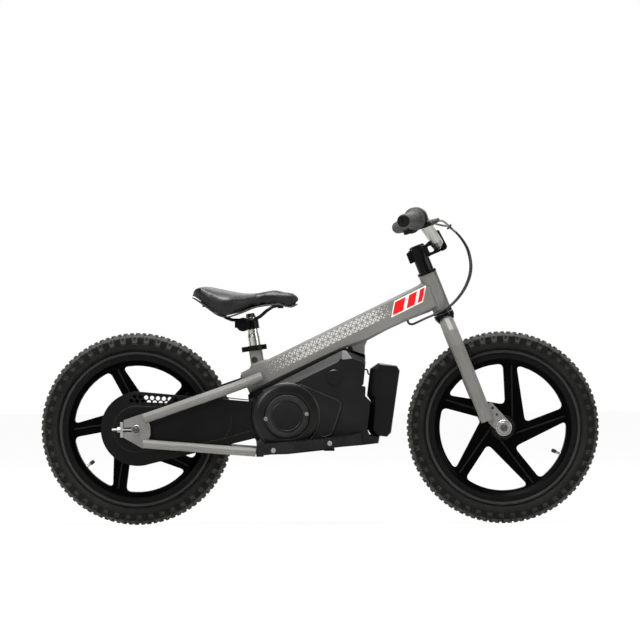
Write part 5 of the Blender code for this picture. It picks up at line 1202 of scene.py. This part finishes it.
class BIKE_OT_motor_cover(bpy.types.Operator):
    """Round motor cover with its rings, groove and centre cap"""

    bl_idname = "bike.motor_cover"
    bl_label = "Motor cover"

    def execute(self, context):
        black = tuple(context.scene.bike_colours.plastic)
        plastic = moulded("cover_plastic", black, 0.30, 1100.0, 0.00006, 0.6, 0.26)
        satin = satin_black("cover_ring_satin", colour(38, 38, 37), 0.26)
        # Painted highlights: the beads along the cover's front edge and round its rings are lighter than
        # the cover.
        worn = satin_black("cover_edge_highlight", colour(46, 46, 44), 0.24)
        body = [
            (0.0715, 0.0), (0.0715, 0.0030), (0.0708, 0.0042), (0.0690, 0.0058), (0.0672, 0.0070),
            (0.0645, 0.0082), (0.0610, 0.0090), (0.0540, 0.0097), (0.0500, 0.0100), (0.0484, 0.0098),
            (0.0474, 0.0086), (0.0468, 0.0070), (0.0462, 0.0068), (0.0456, 0.0072), (0.0448, 0.0092),
            (0.0436, 0.0104), (0.0425, 0.0105), (0.0365, 0.0104), (0.0350, 0.0101), (0.0341, 0.0092),
            (0.0335, 0.0050), (0.0100, 0.0049),
        ]
        ring = [
            (0.0345, 0.0095), (0.0345, 0.0106), (0.0352, 0.0110), (0.0418, 0.0112), (0.0428, 0.0109),
            (0.0432, 0.0100),
        ]
        cap = [
            (0.0330, 0.0053), (0.0330, 0.0100), (0.0324, 0.0112), (0.0312, 0.0117), (0.0298, 0.0117),
            (0.0290, 0.0111), (0.0282, 0.0110), (0.0100, 0.0112), (0.0010, 0.0112),
        ]
        lobe = plate(rounded(COVER_LOBE, 0.006), COVER_FACE - 0.0044, COVER_FACE + 0.0010)
        front = rounded([(x - 0.0022, z) for x, z in COVER_LOBE[1:9]], 0.006)
        edges = [raised(front, COVER_FACE - 0.0042)]
        for radius, rise in ((0.0688, 0.0060), (0.0447, 0.0094)):
            edges.append(raised(arc(radius, 0.0, 360.0, 72, MOTOR_CENTRE), COVER_FACE - rise))
        beads = joined(*(swept(edge, 0.0009, 8) for edge in edges))
        node = "motor_cover"
        add_piece("motor_cover_ringed", on_cover(body), plastic, node=node, sharp=28.0, bevel=0.0007)
        add_piece("motor_cover_lobe", lobe, plastic, node=node, sharp=50.0, bevel=0.0034, segments=4)
        add_piece("motor_cover_edges", beads, worn, node=node, sharp=50.0)
        add_piece("motor_cover_ring", on_cover(ring), satin, node=node, sharp=40.0)
        add_piece("motor_cap_dished", on_cover(cap, 96), plastic, node="motor_cover_cap")
        return {"FINISHED"}


def guard_edge():
    """The chain guard from the side, round behind the wheel and narrowing to the round end of the case."""
    start, end = (
        math.degrees(math.atan2(z - MOTOR_CENTRE[1], x - MOTOR_CENTRE[0])) % 360.0
        for x, z in ((-0.1305, 0.1850), (-0.1372, 0.2595))
    )
    return arc(0.078, 85.0, 288.0, 60, (-0.3830, 0.2045)) + arc(0.0752, start, end, 14, MOTOR_CENTRE)


def shrunk(outline, distance):
    """The outline drawn in by a distance; it runs anticlockwise."""
    result = []
    for i, corner in enumerate(outline):
        here = Vector(corner)
        before = (here - Vector(outline[i - 1])).normalized()
        after = (Vector(outline[(i + 1) % len(outline)]) - here).normalized()
        first, second = Vector((-before.y, before.x)), Vector((-after.y, after.x))
        middle = (first + second).normalized()
        result.append(tuple(here + middle * (distance / max(middle.dot(first), 0.3))))
    return result


class BIKE_OT_gap_shade(bpy.types.Operator):
    """Black strips in the gap between the top tube and the drive case, and behind the case's round end:
    painted shade where the gaps are dark
    """

    bl_idname = "bike.gasket"
    bl_label = "Case seal"

    def execute(self, context):
        # Painted shade: black strips fill the gaps above the case and behind its round end.
        foam = moulded("painted_shade_black", colour(10, 10, 10), 0.8, 500.0, 0.0003)
        sides = joined(plate(SHADE_STRIP, -0.0168, -0.0140), plate(SHADE_STRIP, 0.0140, 0.0168))
        outside, inside = (arc(radius, 150.0, 220.0, 16, MOTOR_CENTRE) for radius in (0.0830, 0.0680))
        add_piece("case_seal", sides, foam, bevel=0.0008)
        add_piece("case_seal_front", plate(SHADE_WEDGE, -0.0120, 0.0120), foam, bevel=0.001)
        add_piece("guard_shade_sheet", plate(outside + inside[::-1], -0.0300, -0.0225), foam, bevel=0.0006)
        return {"FINISHED"}


class BIKE_OT_chain_guard(bpy.types.Operator):
    """Outer chain guard, a tray with its punched holes, bead and creases"""

    bl_idname = "bike.chain_guard"
    bl_label = "Chain guard"

    def execute(self, context):
        plastic = moulded("guard_plastic", colour(9, 9, 9), 0.40, 1100.0, 0.00007, 0.3, 0.12)
        # Painted highlights: the bead round the guard and along its creases is lighter than the guard.
        worn = satin_black("guard_bead_highlight", colour(30, 30, 29), 0.30)
        edge = guard_edge()
        holes = [circle(0.0083, 40, (-AXLE_X, AXLE_HEIGHT))]
        for count, start in ((8, (-0.3898, 0.2722)), (7, (-0.3966, 0.2634))):
            holes += [circle(0.0044, 20, polar(0.0124 * i, -4.2, start)) for i in range(count)]
        tray = joined(
            plate(shrunk(edge, 0.0012), GUARD_FACE, GUARD_FACE + 0.0020, holes=holes),
            plate(edge, GUARD_FACE + 0.0006, -0.0337, holes=[shrunk(edge, 0.0020)]),
        )
        node = "chain_guard_outer"
        add_piece("chain_guard_punched", tray, plastic, node=node, bevel=0.0005)
        bead = [(-0.3330, 0.2496), (-0.3560, 0.2507)] + arc(0.048, 76.0, 285.0, 60, (-0.3857, 0.2040))
        bead += [(-0.3610, 0.1592), (-0.3420, 0.1640)]
        height = GUARD_FACE + 0.0008
        creases = [smooth_route(raised(crease, height), 8) for crease in GUARD_CREASES]
        beads = [swept(raised(bead, height), 0.0013, 10)]
        beads += [swept(crease, 0.0011, 10) for crease in creases]
        add_piece("chain_guard_bead", joined(*beads), worn, node=node, sharp=50.0)
        return {"FINISHED"}


class BIKE_OT_brake_disc(bpy.types.Operator):
    """Drilled brake disc on its carrier"""

    bl_idname = "bike.brake_disc"
    bl_label = "Brake disc"

    def execute(self, context):
        steel = metal("disc_steel", colour(176, 176, 174), 0.28, (1.0, 8.0, 1.0))
        place = at(-AXLE_X, AXLE_HEIGHT)
        cuts = [0.004] + [0.0008] * 7 + [0.004]
        holes = [circle(0.0050, 24)]
        for i in range(24):
            holes.append(circle(0.0023, 12, polar(0.0475 + 0.0035 * (i % 3), 15.0 * i)))
        for start in range(0, 360, 60):
            window = arc(0.0240, start + 8, start + 52, 8) + arc(0.0400, start + 56, start + 12, 8)
            holes.append(rounded(window, cuts * 2, 3))
        carrier = [(0.0200, 0.0363), (0.0200, 0.0398), (0.0192, 0.0404), (0.0050, 0.0404)]
        disc = joined(
            plate(circle(0.0578, 120), 0.0381, 0.0399, place, holes), about_y(carrier, 64, place)
        )
        add_piece("brake_disc_drilled", disc, steel, "rear_wheel", "brake_disc", bevel=0.0002)
        return {"FINISHED"}


def screw_shape(centre, radius, height, recess, side):
    """A round-headed screw with its recess, facing the side that Y is on."""
    if recess == "hex":
        hole = circle(radius * 0.52, 6)
    else:
        arm, half = radius * 0.58, radius * 0.14
        hole = [
            (half, half), (half, arm), (-half, arm), (-half, half), (-arm, half), (-arm, -half),
            (-half, -half), (-half, -arm), (half, -arm), (half, -half), (arm, -half), (arm, half),
        ]
    head, middle = circle(radius, 28), side * height * 0.35
    shape = joined(plate(head, middle, side * height, holes=[hole]), plate(head, -side * 0.0006, middle))
    return moved(shape, Matrix.Translation(centre) @ rotation(17.0, "Y"))


def surface_y(nodes, x, z, side=-1.0):
    """Where a line along Y first meets one of these nodes, coming from one side."""
    met = []
    for name in nodes:
        mesh = bpy.data.objects[name].data
        tree = BVHTree.FromPolygons([v.co for v in mesh.vertices], [f.vertices for f in mesh.polygons])
        place = tree.ray_cast(Vector((x, side * 0.4, z)), Vector((0.0, -side, 0.0)))[0]
        if place:
            met.append(side * place.y)
    if not met:
        raise RuntimeError(f"nothing to screw into at {x:.3f}, {z:.3f}")
    return side * max(met)


class BIKE_OT_screws(bpy.types.Operator):
    """Screws of the case, cover, footrests and frame, and the plug in the seat tube's foot"""

    bl_idname = "bike.screws"
    bl_label = "Screws"

    def execute(self, context):
        steel = metal("screw_steel", colour(190, 190, 188), 0.26)
        dark = metal("screw_black", colour(46, 46, 46), 0.42)
        cup = satin_black("race_black", colour(8, 8, 8), 0.2)
        grey = moulded("plug_plastic", colour(24, 24, 24), 0.4)
        for name, (x, z), radius, nodes, recess, bright, both in SCREWS:
            finish, slot = (steel, "steel") if bright else (dark, "black_paint")
            for side_name, side in SIDES[: 1 + both]:
                nodes = [node.replace("right", side_name) for node in nodes]
                centre = (x, surface_y(nodes, x, z, side), z)
                shape = screw_shape(centre, radius, 0.0020, recess, side)
                piece = name if side < 0.0 else f"{name}_left"
                add_piece(piece, shape, finish, sharp=30.0, bevel=0.0003)
        for name, x, z in FOOTREST_BOLTS:
            for side_name, side in SIDES:
                nodes = (f"foot_rest_{side_name}", "lower_cradle", f"case_{side_name}")
                centre = (x, surface_y(nodes, x, z, side), z)
                shape = screw_shape(centre, 0.0050, 0.0024, "hex", side)
                piece = f"footrest_bolt_{name}_{side_name}"
                add_piece(piece, shape, steel, sharp=30.0, bevel=0.0004)
        race = [
            (0.0150, -0.0262), (0.0170, -0.0262), (0.0214, -0.0166), (0.0216, -0.0150), (0.0216, -0.0094),
            (0.0150, -0.0094),
        ]
        cover = turned(race, 48, STEERING, closed=True)
        add_piece("crown_race_cover", cover, cup, "steering")
        y = surface_y(("main_frame",), *SEAT_PLUG)
        plug = [
            (0.0067, y + 0.001), (0.0067, y - 0.0008), (0.0060, y - 0.0014), (0.0050, y - 0.0014),
            (0.0046, y - 0.0010), (0.001, y - 0.0010),
        ]
        add_piece("seat_tube_plug", about_y(plug, 40, at(*SEAT_PLUG)), grey, sharp=40.0)
        return {"FINISHED"}


# Finishes of the pieces that keep their CAD shape


class BIKE_OT_finishes(bpy.types.Operator):
    """Paint, plastic and metal on every other piece"""

    bl_idname = "bike.finishes"
    bl_label = "Finishes"

    def execute(self, context):
        colours = context.scene.bike_colours
        paint = frame_paint(tuple(colours.paint))
        printed = frame_paint(tuple(colours.paint), graphics=True)
        plastic = moulded("case_plastic", tuple(colours.plastic), 0.34, 900.0, 0.00008, 0.8, 0.26)
        pack = moulded("battery_plastic", colour(7, 7, 7), 0.36, 700.0, 0.00012, 0.5, 0.18)
        black = satin_black("black_paint", colour(10, 10, 10), 0.24)
        tread = satin_black("footrest_black", colour(24, 24, 24), 0.28)
        steel = metal("plated_steel", colour(170, 170, 168), 0.50)
        alloy = metal("polished_alloy", colour(214, 212, 206), 0.14)
        bar = metal("bar_metal", colour(200, 199, 194), 0.22, scratch=0.06)
        box = metal("controller_box", colour(120, 122, 126), 0.45)
        wrap = moulded("cell_wrap", colour(30, 62, 112), 0.35)
        casing = moulded("lead_casing", colour(22, 22, 22), 0.42)
        chain = metal("chain_steel", colour(96, 92, 86), 0.42)
        for node in NODES.values():
            node.data.materials.clear()
            node.data.materials.append(steel)
        # Finish, width of the softened edges and the nodes that wear them
        for finish, width, names in (
            (printed, 0.0014, ("main_frame",)),
            (paint, 0.0008, ("fork",)),
            (paint, 0.0010, ("dropout_right", "dropout_left")),
            (paint, 0.0, ("seatstay_right", "seatstay_left", "chainstay_right", "chainstay_left")),
            (black, 0.0006, ("lower_cradle", "brake_caliper", "stem", "stem_faceplate")),
            (black, 0.0005, ("seat_clamp",)),
            (black, 0.0004, ("headset_cup_upper", "headset_cup_lower", "seat_collar", "top_cap")),
            (black, 0.0004, ("lever_clamp", "rail_clamp")),
            (black, 0.0003, ("steerer_spacer", "brake_lever", "clamp_bolt")),
            (black, 0.0, ("saddle_rails",)),
            (plastic, 0.0016, ("case_right", "case_left")),
            (plastic, 0.0005, ("saddle_base", "power_knob")),
            (plastic, 0.0004, ("chain_guard_inner",)),
            (pack, 0.0012, ("battery_shell_right", "battery_shell_left")),
            (tread, 0.0006, ("foot_rest_right", "foot_rest_left")),
            (steel, 0.0004, ("motor",)),
            (steel, 0.0003, ("chain_tensioner_right", "chain_tensioner_left", "rear_axle", "front_axle")),
            (chain, 0.0003, ("drive_chain",)),
            (chain, 0.0002, ("rear_sprocket", "motor_sprocket")),
            (alloy, 0.0003, ("seat_post",)),
            (bar, 0.0, ("handlebar",)),
            (box, 0.0008, ("controller",)),
            (wrap, 0.0008, ("battery_cells",)),
            (casing, 0.0, ("battery_lead",)),
        ):
            for name in names:
                if name not in NODES:
                    raise RuntimeError(f"there is no piece named {name}")
                NODES[name].data.materials[0] = finish
                if width:
                    soften(NODES[name], width)
        return {"FINISHED"}


# Stage, lamps and camera


def stage_card(name, glow, corners):
    """A pale sheet that the camera sees as an even white, straight or in a reflection."""
    card = Finish(name, colour(238, 238, 236), 0.8)
    white = card.node("ShaderNodeEmission", None, {"Color": (1.0, 1.0, 1.0)})
    lit = Signal(card, card.shader.outputs[0])
    mixed = card.node("ShaderNodeMixShader", None, {0: card.seen_white() * glow, 1: lit, 2: white})
    card.feed(card.tree.nodes["Material Output"].inputs["Surface"], mixed)
    mesh = bpy.data.meshes.new(name)
    mesh.from_pydata(corners, [], [(0, 1, 2, 3)])
    mesh.materials.append(card.material)
    sheet = bpy.data.objects.new(name, mesh)
    bpy.context.scene.collection.objects.link(sheet)


class BIKE_OT_stage(bpy.types.Operator):
    """Pale floor and backdrop, soft studio lamps and the camera"""

    bl_idname = "bike.stage"
    bl_label = "Stage"

    def execute(self, context):
        scene = context.scene
        light = scene.studio_light
        scene.view_settings.view_transform = "Standard"
        scene.world = bpy.data.worlds.new("studio")
        scene.world.use_nodes = True
        sky = Nodes(scene.world.node_tree)
        back = sky.tree.nodes["Background"]
        sky.feed(back.inputs["Color"], (1.0, 1.0, 1.0))
        sky.feed(back.inputs["Strength"], light.surround)
        stage_card("studio_floor", 0.955, ((-12, -12, 0), (12, -12, 0), (12, 9, 0), (-12, 9, 0)))
        stage_card("studio_backdrop", 1.0, ((-12, 9, -1), (12, 9, -1), (12, 9, 9), (-12, 9, 9)))
        lamps = (
            ("top_lamp", (-0.2, -0.5, 3.0), 1.8, light.key),
            ("front_lamp", (-2.6, -3.8, 2.6), 1.8, light.key * 0.62),
            ("side_lamp", (3.4, -1.6, 1.6), 1.5, light.fill),
            ("rear_lamp", (0.6, 2.6, 2.4), 2.4, light.fill),
        )
        for name, place, size, power in lamps:
            lamp = bpy.data.lights.new(name, "AREA")
            lamp.shape = "DISK"
            lamp.size = size
            lamp.energy = power
            holder = bpy.data.objects.new(name, lamp)
            scene.collection.objects.link(holder)
            holder.location = place
            aim = Vector((0.0, 0.0, 0.35)) - Vector(place)
            holder.rotation_euler = aim.to_track_quat("-Z", "Y").to_euler()
        lens = bpy.data.cameras.new("photo_camera")
        lens.sensor_width = 36.0
        lens.lens = 199.5
        lens.clip_end = 40.0
        camera = bpy.data.objects.new("photo_camera", lens)
        scene.collection.objects.link(camera)
        level = Matrix.Translation((0.0008, -7.5, 0.4314)) @ Matrix.Rotation(math.radians(90.0), 4, "X")
        camera.matrix_world = level @ rotation(-0.2825, "Z")
        scene.camera = camera
        return {"FINISHED"}


OPERATORS = (
    BIKE_OT_stage, BIKE_OT_finishes, BIKE_OT_tyres, BIKE_OT_rims, BIKE_OT_axles, BIKE_OT_saddle,
    BIKE_OT_cables, BIKE_OT_grips, BIKE_OT_motor_cover, BIKE_OT_gap_shade, BIKE_OT_chain_guard,
    BIKE_OT_brake_disc, BIKE_OT_screws,
)
SETTINGS = (
    ("wheel_sizes", WheelSizes), ("saddle_sizes", SaddleSizes), ("cable_sizes", CableSizes),
    ("bike_colours", BikeColours), ("studio_light", StudioLight),
)


class BIKE_PT_build(bpy.types.Panel):
    """Builds the balance bike piece by piece"""

    bl_idname = "BIKE_PT_build"
    bl_label = "Balance Bike"
    bl_space_type = "VIEW_3D"
    bl_region_type = "UI"
    bl_category = "Balance Bike"

    def draw(self, context):
        for operator in OPERATORS:
            self.layout.operator(operator.bl_idname)
        for name, _ in SETTINGS:
            values = getattr(context.scene, name)
            column = self.layout.column()
            for value in values.bl_rna.properties.keys():
                if value not in ("name", "rna_type"):
                    column.prop(values, value)


def register():
    for name, group in SETTINGS:
        bpy.utils.register_class(group)
        setattr(bpy.types.Scene, name, bpy.props.PointerProperty(type=group))
    for kind in (*OPERATORS, BIKE_PT_build):
        bpy.utils.register_class(kind)


def unregister():
    for kind in (BIKE_PT_build, *reversed(OPERATORS)):
        bpy.utils.unregister_class(kind)
    for name, group in reversed(SETTINGS):
        delattr(bpy.types.Scene, name)
        bpy.utils.unregister_class(group)


def main():
    register()
    bpy.ops.bike.stage()
    bpy.ops.bike.finishes()
    bpy.ops.bike.tyres()
    bpy.ops.bike.rims()
    bpy.ops.bike.axles()
    bpy.ops.bike.saddle()
    bpy.ops.bike.cables()
    bpy.ops.bike.grips()
    bpy.ops.bike.motor_cover()
    bpy.ops.bike.gasket()
    bpy.ops.bike.chain_guard()
    bpy.ops.bike.brake_disc()
    bpy.ops.bike.screws()


if __name__ == "__main__":
    main()
